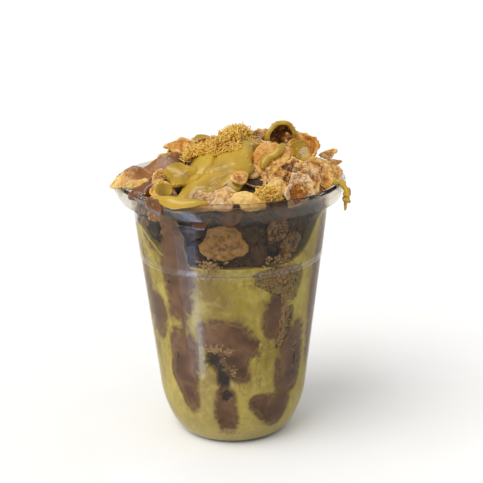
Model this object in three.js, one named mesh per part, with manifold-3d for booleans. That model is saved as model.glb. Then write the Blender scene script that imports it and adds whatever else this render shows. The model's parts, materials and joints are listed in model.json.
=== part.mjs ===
// A kataifi dessert pot: a clear plastic cup of pistachio cream with chocolate running down
// inside the wall, piled high with frosted cereal flakes and shredded kataifi pastry, and
// draped with pistachio sauce.
// Millimetres, +Z up, the cup stands on z = 0 and its front faces -Y, with +X to the right.

import * as THREE from 'three';
import { mergeVertices } from 'three/addons/utils/BufferGeometryUtils.js';
import Module from 'manifold-3d';

const wasm = await Module();
wasm.setup();

// ---- driving dimensions ----

const gap = 0.3;                 // air between neighbouring pieces
// A piece is grown before its neighbours are cut by it, by this many gaps.
const growth = { rim: 1.5, face: 1.3 };
const cupSegments = 36;

const cup = {
  wall: 0.7,
  footR: 23.0,                   // where the heel meets the table
  heelR: 32.3,
  heelZ: 22.5,
  heelPower: 1.46,               // superellipse power of the rounded heel
  puntR: 21.9,                   // raised middle of the base
  puntZ: 5.2,
  neckR: 41.4,
  neckZ: 101.0,
  ledgeZ: 80,
  ledgeStep: 0.16,
  lipRootR: 42.5,
  lipRootZ: 107.5,
  lipR: 49.0,                    // widest line of the flared lip
  lipZ: 110.0,
  crestR: 48.0,
  crestZ: 113.0,
  skirtR: 46.4,                  // lower edge of the lip's turned-down skirt
  skirtZ: 105.1,
};

const cream = {
  level: 83.8,                   // cream line at the front of the cup
  dip: 3,                        // how far its middle lies below that line
  // where it climbs the wall: azimuth, height and half width in degrees
  climbs: [[-72, 13, 24], [70, 20, 17], [180, 5, 50]],
};

const heap = {
  crownX: 4,                     // where the heap is highest
  crownY: 4,
  spread: 45,
  baseZ: 108,
  rise: 19.5,
  lean: 0.07,                    // the right side is piled higher
  coreDepth: 2.6,                // how far the bare core lies under the heap's surface
  coreR: 38,
  coreTaper: 4,                  // the underside is narrower
  coreRimZ: 100,
  coreFootZ: 74,
  wallFlakes: 8,                 // flakes fused round the back, inside the wall
  topFlakes: 9,                  // and on its far slope
};

const wallClear = 0.18;          // pieces against the wall keep off its flat facets too
const patchRim = 0.2;            // thickness of a sauce patch at its edge
const tidyTolerance = 0.06;      // slivers left by a cut are smoothed away below this
const flakeThick = 1.7;
const strandR = 0.42;            // one shred of kataifi
const drizzleR = 1.5;            // thickest part of the drizzled bead
const drapeRim = 0.3;            // height of the edge of sauce that lies over the lip
const drapeRise = 0.25;          // its rounding just inside that edge
const drapeSink = 0.1;

const finish = {
  clearPlastic: [0xdfe4e2, 0.06, 0],
  pistachio: [0xb8a544, 0.32, 0],
  chocolate: [0x6b3a24, 0.28, 0],
  flake: [0xd9a45c, 0.75, 0],
  flakeDark: [0x9a6a3c, 0.8, 0],
  kataifi: [0xc9a043, 0.8, 0],
};

// ---- small helpers ----

const rad = THREE.MathUtils.degToRad;
const clamp = THREE.MathUtils.clamp;
const lerp = THREE.MathUtils.lerp;

// A seeded draw between 0 and 1, so that every build gives the same food.
function seeded(seed) {
  let state = seed * 2654435761 % 4294967296;
  return () => {
    state = (state * 1664525 + 1013904223) % 4294967296;
    return state / 4294967296;
  };
}

function ripple(x, y, seed) {
  return 0.5 * Math.sin(0.43 * x + 1.7 * seed) + 0.5 * Math.sin(0.37 * y - 0.9 * seed)
    + 0.35 * Math.sin(0.71 * (x + y) + 2.3 * seed);
}

function toSolid(geometry) {
  const bare = new THREE.BufferGeometry();
  bare.setAttribute('position', geometry.getAttribute('position').clone());
  if (geometry.index) bare.setIndex(geometry.index.clone());
  const merged = mergeVertices(bare, 1e-4);
  const vertProperties = new Float32Array(merged.getAttribute('position').array);
  const triVerts = new Uint32Array(merged.index.array);
  return new wasm.Manifold(new wasm.Mesh({ numProp: 3, vertProperties, triVerts }));
}

function toGeometry(solid) {
  const mesh = solid.getMesh();
  const geometry = new THREE.BufferGeometry();
  geometry.setAttribute('position', new THREE.BufferAttribute(new Float32Array(mesh.vertProperties), 3));
  geometry.setIndex(new THREE.BufferAttribute(new Uint32Array(mesh.triVerts), 1));
  geometry.computeVertexNormals();
  return geometry;
}

// Keeps the largest closed shell: loose scraps are dropped and sealed hollows are filled.
function largestShell(solid) {
  const mesh = solid.simplify(tidyTolerance).getMesh();
  const owner = Array.from({ length: mesh.numVert }, (_, i) => i);
  const find = (i) => {
    let root = i;
    while (owner[root] !== root) root = owner[root];
    owner[i] = root;
    return root;
  };
  const tris = mesh.triVerts;
  for (let i = 0; i < tris.length; i += 3) {
    owner[find(tris[i + 1])] = find(tris[i]);
    owner[find(tris[i + 2])] = find(tris[i]);
  }
  const corner = (i) => new THREE.Vector3().fromArray(mesh.vertProperties, 3 * tris[i]);
  const shells = new Map();
  for (let i = 0; i < tris.length; i += 3) {
    const root = find(tris[i]);
    const shell = shells.get(root) ?? { volume: 0, triangles: [] };
    shell.volume += corner(i).dot(corner(i + 1).cross(corner(i + 2))) / 6;
    shell.triangles.push(tris[i], tris[i + 1], tris[i + 2]);
    shells.set(root, shell);
  }
  const largest = [...shells.values()].reduce((best, shell) => (shell.volume > best.volume ? shell : best));
  const geometry = new THREE.BufferGeometry();
  geometry.setAttribute('position', new THREE.BufferAttribute(mesh.vertProperties.slice(), 3));
  geometry.setIndex(largest.triangles);
  return toSolid(geometry);
}

function boxesMeet(a, b) {
  const p = a.boundingBox();
  const q = b.boundingBox();
  return [0, 1, 2].every((k) => p.min[k] < q.max[k] && q.min[k] < p.max[k]);
}

// A closed disc of rings and segments. place(u, v, rho, side) puts each vertex: u and v run
// over the unit disc, rho is its radius, and side is above 0 on the upper face, 0 on the rim.
function discSolid(segments, rings, place) {
  const sphere = new THREE.SphereGeometry(1, segments, rings * 2);
  sphere.deleteAttribute('normal');
  sphere.deleteAttribute('uv');
  const disc = mergeVertices(sphere, 1e-4);
  const position = disc.getAttribute('position');
  for (let i = 0; i < position.count; i++) {
    const height = clamp(position.getY(i), -1, 1);
    const angle = Math.atan2(-position.getZ(i), position.getX(i));
    const rho = 1 - Math.abs(Math.asin(height)) / (Math.PI / 2);
    const point = place(rho * Math.cos(angle), rho * Math.sin(angle), rho,
        Math.abs(height) < 1e-6 ? 0 : height);
    position.setXYZ(i, point[0], point[1], point[2]);
  }
  return toSolid(disc);
}

// ---- the cup ----

function heelPoint(turn) {
  const power = 2 / cup.heelPower;
  const r = cup.footR + (cup.heelR - cup.footR) * Math.pow(Math.cos(turn), power);
  const z = cup.heelZ * (1 - Math.pow(Math.sin(turn), power));
  return [r, z];
}

function outerWall() {
  const points = [];
  const steps = 5;
  for (let i = steps; i >= 0; i--) points.push(heelPoint((i / steps) * (Math.PI / 2)));
  const slope = (cup.neckR - cup.heelR) / (cup.neckZ - cup.heelZ);
  const ledgeR = cup.heelR + slope * (cup.ledgeZ - cup.heelZ);
  points.push([ledgeR - cup.ledgeStep, cup.ledgeZ - 0.5]);
  points.push([ledgeR + cup.ledgeStep, cup.ledgeZ + 0.5]);
  points.push([cup.neckR, cup.neckZ]);
  points.push([cup.neckR + 0.5, cup.neckZ + 0.7]);
  points.push([cup.lipRootR, cup.lipRootZ]);
  return points;
}

// Moves every point of an (r, z) line sideways by a distance, to its left when it is positive.
function offsetLine(points, distance) {
  return points.map((point, i) => {
    const before = points[Math.max(i - 1, 0)];
    const after = points[Math.min(i + 1, points.length - 1)];
    const first = new THREE.Vector2(point[0] - before[0], point[1] - before[1]).normalize();
    const second = new THREE.Vector2(after[0] - point[0], after[1] - point[1]).normalize();
    const along = first.add(second).normalize();
    return [point[0] - along.y * distance, point[1] + along.x * distance];
  });
}

const outerLine = outerWall();
const innerLine = offsetLine(outerLine, cup.wall).filter(([, z]) => Math.abs(z - cup.ledgeZ) > 1);

function innerRadius(z) {
  for (let i = 1; i < innerLine.length; i++) {
    const [r0, z0] = innerLine[i - 1];
    const [r1, z1] = innerLine[i];
    if (z <= z1) return lerp(r0, r1, clamp((z - z0) / (z1 - z0), 0, 1));
  }
  return innerLine[innerLine.length - 1][0];
}

// The lip in section, from the neck outside round to the neck inside.
function lipLine() {
  const wall = cup.wall;
  return [
    [cup.crestR - 0.7, cup.crestZ - wall - 0.5],
    [cup.lipR - wall - 0.1, cup.lipZ],
    [cup.skirtR - 0.4, cup.skirtZ],
    [cup.skirtR + 0.4, cup.skirtZ + 0.1],
    [cup.lipR, cup.lipZ],
    [cup.lipR - 0.2, cup.lipZ + 1.9],
    [cup.crestR, cup.crestZ],
    [cup.lipRootR - 0.1, cup.lipRootZ + 2.0],
  ];
}

function cupProfile() {
  const base = [
    [0, cup.puntZ - cup.wall],
    [cup.puntR - 1.5, cup.puntZ - cup.wall],
    [cup.puntR - 0.3, cup.puntZ - 1.6],
    [cup.footR - 0.8, 0],
  ];
  const inside = [
    [cup.footR - 0.6, cup.wall + 0.1],
    [cup.puntR, cup.puntZ - 0.9],
    [cup.puntR - 1.1, cup.puntZ],
    [0, cup.puntZ],
  ];
  return [...base, ...outerLine, ...lipLine(), ...innerLine.slice().reverse(), ...inside];
}

function grownProfile(profile, distance) {
  return offsetLine(profile, -distance).map(([r, z], i) => {
    const onAxis = i === 0 || i === profile.length - 1;
    return [onAxis ? 0 : Math.max(r, 0), z];
  });
}

function latheSolid(profile) {
  const points = profile.map(([r, z]) => new THREE.Vector2(r, z));
  const geometry = new THREE.LatheGeometry(points, cupSegments);
  geometry.rotateX(Math.PI / 2);
  return toSolid(geometry);
}

// The room inside the cup, gap clear of the wall, up to a height.
function roomInCup(topZ) {
  const wall = innerLine.filter(([, z]) => z < topZ && z > cup.wall + 0.3)
    .map(([r, z]) => [r - gap, z + 0.1]);
  const base = [
    [0, cup.puntZ + gap],
    [cup.puntR - 0.9, cup.puntZ + gap],
    [cup.puntR + gap, cup.puntZ - 0.7],
    [cup.footR - 0.2, cup.wall + 0.6],
  ];
  return latheSolid([...base, ...wall, [innerRadius(topZ) - gap, topZ], [0, topZ]]);
}

// ---- pieces against the wall, given by azimuth (0 at the front, + to the right) and height ----

function wallPoint(azimuth, z, inward) {
  const r = innerRadius(z) - gap - wallClear - inward;
  return [r * Math.sin(rad(azimuth)), -r * Math.cos(rad(azimuth)), z];
}

// A blob of thick sauce spread on the inside of the wall, out to a smooth closed outline.
function wallPatch(spec, grow) {
  const outline = new THREE.CatmullRomCurve3(
    spec.outline.map(([azimuth, z]) => new THREE.Vector3(azimuth, z, 0)), true, 'centripetal');
  const middle = new THREE.Vector2();
  spec.outline.forEach(([azimuth, z]) => middle.add(new THREE.Vector2(azimuth, z)));
  middle.divideScalar(spec.outline.length);
  const segments = spec.segments ?? 12;
  const rings = grow > 0 ? 3 : 2;  // the grown shape has upright sides, so it opens the cream
  return discSolid(segments, rings, (u, v, rho, side) => {
    const turn = (Math.atan2(v, u) / (2 * Math.PI) + 1) % 1;
    const edge = outline.getPoint(turn);
    const reach = Math.hypot(rad(edge.x - middle.x) * cup.heelR, edge.y - middle.y);
    const share = grow > 0 ? Math.min(1, 1.5 * rho) : rho;
    const wider = share * (1 + growth.rim * grow / reach);
    const azimuth = lerp(middle.x, edge.x, wider);
    const z = lerp(middle.y, edge.y, wider);
    const inside = (spec.depth + grow) * Math.sqrt(1 - share * share) + patchRim + growth.face * grow;
    return wallPoint(azimuth, z, side < 0 ? inside : -growth.rim * grow);
  });
}

// ---- cereal flakes ----

function flakeFrame(spec) {
  const [azimuth, tilt, spin] = spec.face.map(rad);
  const normal = new THREE.Vector3(Math.sin(tilt) * Math.sin(azimuth), -Math.sin(tilt) * Math.cos(azimuth),
    Math.cos(tilt));
  const right = new THREE.Vector3(Math.cos(azimuth), Math.sin(azimuth), 0);
  const upward = new THREE.Vector3().crossVectors(normal, right);
  const long = right.clone().multiplyScalar(Math.cos(spin)).addScaledVector(upward, Math.sin(spin));
  const short = new THREE.Vector3().crossVectors(normal, long);
  return new THREE.Matrix4().makeBasis(long, short, normal).setPosition(...spec.at);
}

// A point of a flake in its own frame: an uneven oval, rolled about its short axis, dished
// and waved, with its faces half a thickness to each side. grow widens the outline alone.
function flakePoint(spec, u, v, rho, lift, grow = 0) {
  const [halfLong, halfShort] = spec.size;
  const angle = Math.atan2(v, u);
  const seed = spec.seed;
  const uneven = 1 + 0.08 * Math.sin(2 * angle + seed) + 0.07 * Math.sin(3 * angle + 2.1 * seed)
    + 0.05 * Math.sin(5 * angle + 3.7 * seed);
  const along = (halfLong * uneven + growth.rim * grow) * u;
  const across = (halfShort * uneven + growth.rim * grow) * v;
  const reach = rho * (1 + grow / halfShort);
  const wave = (spec.wave ?? 0.6) * reach * reach * Math.sin(3 * angle + 1.3 * seed);
  const height = (spec.dish ?? 0) * reach * reach + wave + lift;
  const roll = rad(spec.curl || 1) / (2 * halfLong);
  const radius = 1 / roll - height;
  return new THREE.Vector3(radius * Math.sin(along * roll), across,
      1 / roll - radius * Math.cos(along * roll));
}

function flakeSolid(spec, grow) {
  const frame = flakeFrame(spec);
  const steep = Math.abs(spec.dish ?? 0) / spec.size[1];
  const half = (spec.thick ?? flakeThick) / 2 + grow * (growth.face + steep);
  const segments = spec.segments ?? 12;
  return discSolid(segments, spec.rings ?? 2, (u, v, rho, side) => {
    const lift = Math.sign(side) * half * (1 - 0.35 * rho * rho);
    return flakePoint(spec, u, v, rho, lift, grow).applyMatrix4(frame).toArray();
  });
}

// A flake with its thick bead of drizzled sauce, where it has one.
function toppedFlake(spec, grow) {
  const flake = flakeSolid(spec, grow);
  if (!spec.drizzle) return flake;
  const frame = flakeFrame(spec);
  const path = spec.drizzle.map(([u, v]) => {
    const rho = Math.hypot(u, v);
    return flakePoint(spec, u, v, rho, flakeThick / 2 + 0.4).applyMatrix4(frame).toArray();
  });
  const beadRadius = (share) => drizzleR * (0.55 + 0.45 * Math.sin(Math.PI * share)) + grow;
  return flake.add(strandSolid(path, beadRadius, 6, 6));
}

// ---- the heap's surface ----

function heapHeight(x, y) {
  const reach = ((x - heap.crownX) ** 2 + (y - heap.crownY) ** 2) / heap.spread ** 2;
  const dome = Math.max(0, 1 - reach);
  return heap.baseZ + (heap.rise + heap.lean * x) * dome;
}

function creamTop(x, y) {
  const azimuth = THREE.MathUtils.radToDeg(Math.atan2(x, -y));
  const r = Math.hypot(x, y) / cup.neckR;
  let rise = 0;
  for (const [middle, height, halfWidth] of cream.climbs) {
    const turn = Math.abs(azimuth - middle);
    const away = Math.min(turn, 360 - turn) / halfWidth;
    rise += height * Math.exp(-away * away);
  }
  return cream.level - cream.dip * (1 - r) + rise * r * r;
}

// A slab over the plan: an outline round a middle, between an upper and a lower surface.
function planSlab(spec, grow) {
  const outline = new THREE.CatmullRomCurve3(
    spec.outline.map(([x, y]) => new THREE.Vector3(x, y, 0)), true, 'centripetal');
  const [middleX, middleY] = spec.middle;
  return discSolid(spec.segments, spec.rings, (u, v, rho, side) => {
    const turn = (Math.atan2(v, u) / (2 * Math.PI) + 1) % 1;
    const edge = outline.getPoint(turn);
    const x = lerp(middleX, edge.x, rho * (1 + grow / 12));
    const y = lerp(middleY, edge.y, rho * (1 + grow / 12));
    const low = spec.lower(x, y) - grow;
    const high = spec.upper(x, y, rho) + grow;
    const rim = low + 0.35 * (high - low);
    return [x, y, side > 0 ? high : (side < 0 ? low : rim)];
  });
}

// A rounded body along a curve, with its own radius at each share of the way.
function strandSolid(points, radiusAt, sides, steps) {
  const curve = new THREE.CatmullRomCurve3(points.map((p) => new THREE.Vector3(...p)));
  const frames = curve.computeFrenetFrames(steps, false);
  const tube = new THREE.CylinderGeometry(1, 1, 1, sides, steps);
  tube.deleteAttribute('normal');
  tube.deleteAttribute('uv');
  const body = mergeVertices(tube, 1e-4);
  const position = body.getAttribute('position');
  for (let i = 0; i < position.count; i++) {
    const share = clamp(0.5 - position.getY(i), 0, 1);
    const step = Math.round(share * steps);
    const radius = radiusAt(share);
    const place = curve.getPointAt(share)
      .addScaledVector(frames.normals[step], radius * position.getX(i))
      .addScaledVector(frames.binormals[step], radius * position.getZ(i));
    position.setXYZ(i, place.x, place.y, place.z);
  }
  return toSolid(body);
}

// ---- kataifi: a lump of baked shreds, with the loose ends fused on ----

function kataifiSolid(spec, grow) {
  const draw = seeded(spec.seed);
  const [cx, cy, cz] = spec.at;
  const [rx, ry, rz] = spec.size;
  const lean = spec.lean ?? [0, 0];
  let solid = discSolid(9, 3, (u, v, rho, side) => {
    const bump = 1 + 0.12 * ripple(9 * u, 9 * v, spec.seed);
    const height = Math.sign(side) * Math.sqrt(Math.max(0, 1 - rho * rho)) * (rz + grow);
    return [cx + (rx + grow) * u * bump + lean[0] * height, cy + (ry + grow) * v * bump + lean[1] * height,
      cz + height];
  });
  for (let i = 0; i < spec.shreds; i++) {
    const azimuth = 2 * Math.PI * (i / spec.shreds + 0.1 * draw());
    const rise = Math.PI * (0.08 + 0.36 * draw());
    const out = new THREE.Vector3(Math.cos(rise) * Math.cos(azimuth), Math.cos(rise) * Math.sin(azimuth),
      Math.sin(rise));
    const root = new THREE.Vector3(cx + out.x * rx * 0.7 + lean[0] * out.z * rz * 0.7,
      cy + out.y * ry * 0.7 + lean[1] * out.z * rz * 0.7, cz + out.z * rz * 0.7);
    const side = new THREE.Vector3(draw() - 0.5, draw() - 0.5, draw() - 0.5).multiplyScalar(3);
    const length = spec.reach * (0.6 + 0.5 * draw());
    const middle = root.clone().addScaledVector(out, 0.55 * length).addScaledVector(side, 0.35);
    const tip = root.clone().addScaledVector(out, length).add(side);
    const shred = strandSolid([root.toArray(), middle.toArray(), tip.toArray()],
      () => strandR + grow, 3, 2);
    solid = solid.add(shred);
  }
  return solid;
}

// ---- sauce that hangs over the lip, given along the lip's own section ----

const lipPath = new THREE.CatmullRomCurve3([
  [cup.lipRootR - 1.2, cup.lipRootZ + 1.6],
  [cup.lipRootR + 2.6, cup.lipRootZ + 4.2],
  [cup.crestR - 0.6, cup.crestZ + 0.5],
  [cup.lipR + 0.2, cup.crestZ - 0.6],
  [cup.lipR + 0.6, cup.lipZ - 0.4],
  [cup.skirtR + 1.2, cup.skirtZ + 1.4],
].map(([r, z]) => new THREE.Vector3(r + 0.1, z + 0.25, 0)), false, 'centripetal');

function lipDrape(spec, grow) {
  const [from, to] = spec.along;
  return discSolid(spec.segments ?? 12, 3, (u, v, rho, side) => {
    const share = clamp(lerp(from, to, (1 - v * (1 + grow / 6)) / 2), 0, 1);
    const azimuth = rad(spec.azimuth + spec.halfWidth * u * (1 + grow / 3));
    const point = lipPath.getPointAt(share);
    const along = lipPath.getTangentAt(share);
    const bulge = Math.sqrt(Math.max(0, 1 - rho * rho));
    const above = spec.thick * bulge + drapeRim + drapeRise + grow;
    const outward = side > 0 ? above : (side < 0 ? -drapeSink - grow : drapeRim);
    const r = point.x - along.y * outward;
    const z = point.y + along.x * outward;
    return [r * Math.sin(azimuth), -r * Math.cos(azimuth), z];
  });
}

// ---- what is where ----

const chocolatePatches = {
  chocolateStreak: { depth: 2.2, segments: 12, outline: [[-27, 92], [-32, 104], [-42, 104], [-45,
      90], [-44, 76],
    [-41, 64], [-35, 60], [-29, 66], [-25, 80]] },
  chocolateCentre: { depth: 4, segments: 14, outline: [[17, 48], [8, 57], [-7, 60], [-20, 58], [-19, 50],
    [-8, 44], [-1, 36], [9, 34], [9, 42]] },
  chocolateLeft: { depth: 3.4, segments: 14, outline: [[-28, 38], [-27, 49], [-36, 54], [-45, 52],
      [-46, 42],
    [-48, 32], [-41, 25], [-36, 18], [-30, 20], [-30, 28]] },
  chocolateEdge: { depth: 2.6, segments: 9, outline: [[-51, 58], [-55, 66], [-66, 65], [-67, 54],
      [-58, 49]] },
  chocolateFoot: { depth: 2.4, segments: 9, outline: [[0, 18], [-2, 27], [-8, 28], [-12, 24], [-12,
      12], [-6, 9], [0, 10]] },
  chocolateHook: { depth: 2.4, segments: 9, outline: [[34, 61], [32, 69], [26, 69], [23, 63], [23,
      55], [31, 53]] },
  chocolateRight: { depth: 3.6, segments: 13, outline: [[57, 40], [52, 55], [43, 52], [36, 46], [34, 36],
    [36, 27], [46, 25], [55, 27]] },
  chocolateCorner: { depth: 3.2, outline: [[46, 17], [44, 23], [31, 23], [22, 24], [14, 22], [22,
      15], [30, 11],
    [40, 10]] },
};

// Patches on the far side: azimuth, height, half width and half height.
const backPatches = [[112, 56, 15, 15], [152, 30, 13, 11], [-172, 60, 12, 15], [-122, 38, 14, 14]];

backPatches.forEach(([azimuth, z, wide, tall], i) => {
  const draw = seeded(40 + i);
  const outline = [];
  for (let k = 0; k < 8; k++) {
    const turn = (k / 8) * 2 * Math.PI;
    const reach = 0.75 + 0.45 * draw();
    outline.push([azimuth + wide * reach * Math.cos(turn), z + tall * reach * Math.sin(turn)]);
  }
  chocolatePatches[`chocolateBack${i + 1}`] = { depth: 3, segments: 8, outline };
});

const topFlakes = {
  flakeRing: { at: [26.8, -32.4, 112.6], size: [7.6, 7.2], face: [12, 66, 10], curl: 50, dish: 3.4,
      seed: 5 },
  flakeBumpyTan: { at: [23.5, -22, 119.0], size: [10.5, 8.5], face: [12, 50, -20], curl: -40, seed: 1 },
  flakeDrizzled: { at: [15.5, -17, 124.5], size: [9.0, 7.0], face: [-18, 48, 35], curl: -30, seed: 2,
    drizzle: [[0.9, 0.1], [0.5, -0.12], [0.12, -0.2], [-0.2, 0.08], [-0.55, 0.02], [-0.8, -0.14]] },
  flakeBowl: { at: [32.2, -2, 122.2], size: [8.8, 8.2], face: [-28, 52, 0], curl: 70, dish: 3, seed: 3 },
  flakeArch: { at: [20.4, 3, 132.8], size: [9.6, 4.6], face: [-153, 34, 160], curl: -185, wave: 0.2,
      seed: 4,
    segments: 14, rings: 3, look: 'pistachio' },
  flakeRingBack: { at: [30.4, -26.5, 115.4], size: [6.4, 6.0], face: [20, 58, 20], curl: 40,
      dish: 3, seed: 6 },
  flakeFarLeft: { at: [-41.1, -10, 114.8], size: [10.0, 5.6], face: [-20, 42, 16], curl: -30, seed: 7 },
  flakeTopLeft: { at: [-21.2, -2, 126.6], size: [6.8, 4.8], face: [-20, 36, -6], curl: -70, seed: 8 },
  flakeCoatedRidge: { at: [-26.6, -9, 119.6], size: [9.0, 5.8], face: [-12, 50, 32], curl: -50, thick: 2.4,
    seed: 9, look: 'chocolate' },
  flakeCoatedGreen: { at: [-19.6, -22, 118.6], size: [7.2, 5.8], face: [-10, 48, 10], curl: -80, thick: 2.4,
    seed: 10, look: 'pistachio' },
  flakeBehindTuft: { at: [-11.0, 8, 125.4], size: [6.2, 5.2], face: [0, 22, 0], curl: -70,
      thick: 2.2, seed: 11,
    look: 'pistachio' },
  flakeSmallCurl: { at: [-28.8, -18, 116.8], size: [3.6, 2.8], face: [0, 60, 60], curl: 80, seed: 12 },
  flakeArcLeft: { at: [-27.6, -30, 112.9], size: [6.2, 4.8], face: [48, 55, 30], curl: 70, seed: 13 },
  flakeFrontWavy: { at: [-5.6, -36.5, 111.6], size: [10.6, 5.4], face: [4, 52, 0], curl: 80,
      wave: 0.8, seed: 14 },
  flakeGoldenFront: { at: [7.4, -39.2, 112.8], size: [6.6, 3.8], face: [5, 62, -8], curl: -25, seed: 15 },
  flakeCurlCentre: { at: [3.8, -31.5, 119.4], size: [4.0, 3.0], face: [-10, 52, 25], curl: 120, seed: 16 },
  flakeSmallPale: { at: [18.4, -33.2, 115.9], size: [4.4, 3.4], face: [5, 60, 10], curl: 40, seed: 17 },
  flakeStick: { at: [41.6, 0, 121.6], size: [4.8, 2.4], face: [0, 28, 26], curl: 20, seed: 18 },
  flakeRightPoint: { at: [42.2, -6, 118.4], size: [4.6, 2.8], face: [10, 50, 10], curl: 30, seed: 19 },
  flakePink: { at: [35.6, -14, 119.2], size: [6.4, 5.2], face: [24, 46, -10], curl: -40, seed: 20 },
  flakeSmallRing: { at: [36.8, -23, 114.8], size: [4.2, 3.8], face: [30, 60, 0], curl: 40, dish: 2,
      seed: 21 },
  flakeAtLip: { at: [43.0, -13, 115.4], size: [4.4, 3.2], face: [40, 55, 40], curl: 90, seed: 22 },
  flakeBackLeft: { at: [-24, 20, 119.0], size: [9.5, 7.0], face: [215, 40, 20], curl: -50, seed: 23 },
  flakeBackRight: { at: [27, 22, 121.0], size: [10.0, 7.5], face: [140, 40, -15], curl: 60, dish: 2,
      seed: 24 },
  flakeBackMiddle: { at: [2, 29, 119.5], size: [9.5, 7.5], face: [182, 45, 10], curl: -60, seed: 25 },
};

// Flakes that show through the clear wall: azimuth, height, depth from the wall, spin.
const wallFlakes = {
  flakeWallFrosted: { wall: [-4.5, 94.2, 1.6], spin: -12, lean: 4, size: [9.4, 7.0], curl: -18, seed: 31 },
  flakeWallDome: { wall: [17, 86.2, 2.2], spin: 8, lean: 0, size: [7.4, 6.2], curl: -60, dish: -2,
      seed: 32 },
  flakeWallOlive: { wall: [12.5, 97.6, 3.4], spin: 5, lean: 10, size: [5.6, 3.6], curl: -20, seed: 33 },
  flakeWallGrey: { wall: [30, 98.8, 2.0], spin: 60, lean: 0, size: [5.8, 4.6], curl: -40, seed: 34 },
  flakeWallGreyLow: { wall: [41, 92.0, 2.0], spin: 20, lean: 0, size: [5.2, 4.2], curl: -40, seed: 35 },
  flakeWallTan: { wall: [37, 84.4, 2.4], spin: 30, lean: 8, size: [6.0, 4.4], curl: 40, seed: 36 },
  flakeWallCurved: { wall: [-44, 92.6, 2.4], spin: 65, lean: -20, size: [6.4, 4.2], curl: 70, seed: 37 },
  flakeWallDark: { wall: [-58, 97.6, 2.4], spin: -35, lean: 0, size: [6.6, 3.6], curl: 20, seed: 38 },
};

function wallFlakeSpec(spec) {
  const [azimuth, z, inward] = spec.wall;
  const face = [azimuth, 90 - spec.lean, spec.spin];
  return { ...spec, at: wallPoint(azimuth, z, inward), face };
}

const kataifiLumps = {
  kataifiCrown: { at: [2.6, -2.5, 129.0], size: [7.0, 5.2, 5.8], lean: [0.15, 0.1], reach: 4.2, shreds: 11,
    seed: 51 },
  kataifiLeft: { at: [-8.4, -7.5, 124.4], size: [8.2, 4.6, 3.8], lean: [0, 0], reach: 3.6,
      shreds: 9, seed: 52 },
  kataifiFront: { at: [14.6, -37.0, 113.4], size: [5.2, 2.6, 2.8], lean: [0, 0], reach: 3.2, shreds: 7,
    seed: 53 },
  kataifiBack: { at: [-8, 22, 120.5], size: [7.0, 5.0, 3.4], lean: [0, 0], reach: 3.8, shreds: 5,
      seed: 54 },
};

const wallKataifi = {
  kataifiWall: { depth: 3, segments: 13, outline: [[50, 76], [48, 82], [38, 82], [26, 83], [14, 81],
      [16, 76],
    [30, 71], [44, 66]] },
  kataifiVein: { depth: 1.8, segments: 12, outline: [[44, 58], [43, 64], [38, 64], [36, 56], [31,
      50], [33, 46],
    [38, 48]] },
};

const sauces = {
  sauceDrape: {
    middle: [-3, -20], segments: 20, rings: 3,
    outline: [[9, -22], [10.5, -12], [10, -3], [3, -8], [-6, -10], [-14, -8], [-16, -15], [-19,
        -26], [-24, -33],
      [-20, -38], [-12, -37], [-3, -33], [4, -32]],
    lower: (x, y) => heapHeight(x, y) + gap,
    upper: (x, y, rho) => heapHeight(x, y) + gap + 2.8 * Math.sqrt(1.02 - rho * rho)
      + 0.5 * ripple(x, y, 2) * (1 - rho),
  },
  chocolateTop: {
    middle: [-31, -11], segments: 12, rings: 2,
    outline: [[-20, -8], [-22, -2], [-31, -3], [-39, -8], [-42, -15], [-38, -20], [-31, -17], [-25, -18]],
    lower: (x, y) => heapHeight(x, y) + gap,
    upper: (x, y, rho) => heapHeight(x, y) + gap + 3.4 * Math.sqrt(1.02 - rho * rho),
  },
};

const lipSauces = {
  sauceOverLip: { azimuth: -26, halfWidth: 15, along: [0.04, 0.72], thick: 1.3 },
  chocolateOverLip: { azimuth: -37.5, halfWidth: 5.2, along: [0.4, 1], thick: 1.3 },
};

// The sauce that hangs from the right of the lip, with a scrap of flake in its end.
function rightDrip(grow) {
  const path = [[37.6, -20, 113.4], [41.8, -20.4, 114.3], [45.0, -21, 114.4], [46.8, -21.6, 110.8],
    [47.0, -21.6, 107.0], [46.6, -21.6, 102.8]];
  const thick = [0.9, 1.3, 1.35, 2.0, 1.7, 0.35];
  return strandSolid(path, (share) => {
    const place = share * (thick.length - 1);
    const index = Math.min(Math.floor(place), thick.length - 2);
    return lerp(thick[index], thick[index + 1], place - index) + grow;
  }, 8, 10);
}

// ---- building, each piece cut clear of those before it ----

const dessertPot = new THREE.Group();
const placed = [];

function addMesh(name, solid, look) {
  const [color, roughness, metalness] = finish[look];
  const material = new THREE.MeshStandardMaterial({ color, roughness, metalness });
  if (look === 'clearPlastic') {
    material.transparent = true;
    material.opacity = 0.3;
  }
  const mesh = new THREE.Mesh(toGeometry(solid), material);
  mesh.name = name;
  dessertPot.add(mesh);
}

function cutClear(solid) {
  let rest = solid;
  for (const other of placed) {
    if (boxesMeet(rest, other)) rest = rest.subtract(other);
  }
  return largestShell(rest);
}

function addPiece(name, look, make) {
  const solid = cutClear(make(0));
  addMesh(name, solid, look);
  placed.push(make(gap));
}

const profile = cupProfile();
addMesh('cup', latheSolid(profile), 'clearPlastic');
placed.push(latheSolid(grownProfile(profile, gap)));

const room = roomInCup(cup.lipRootZ + 1);

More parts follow.
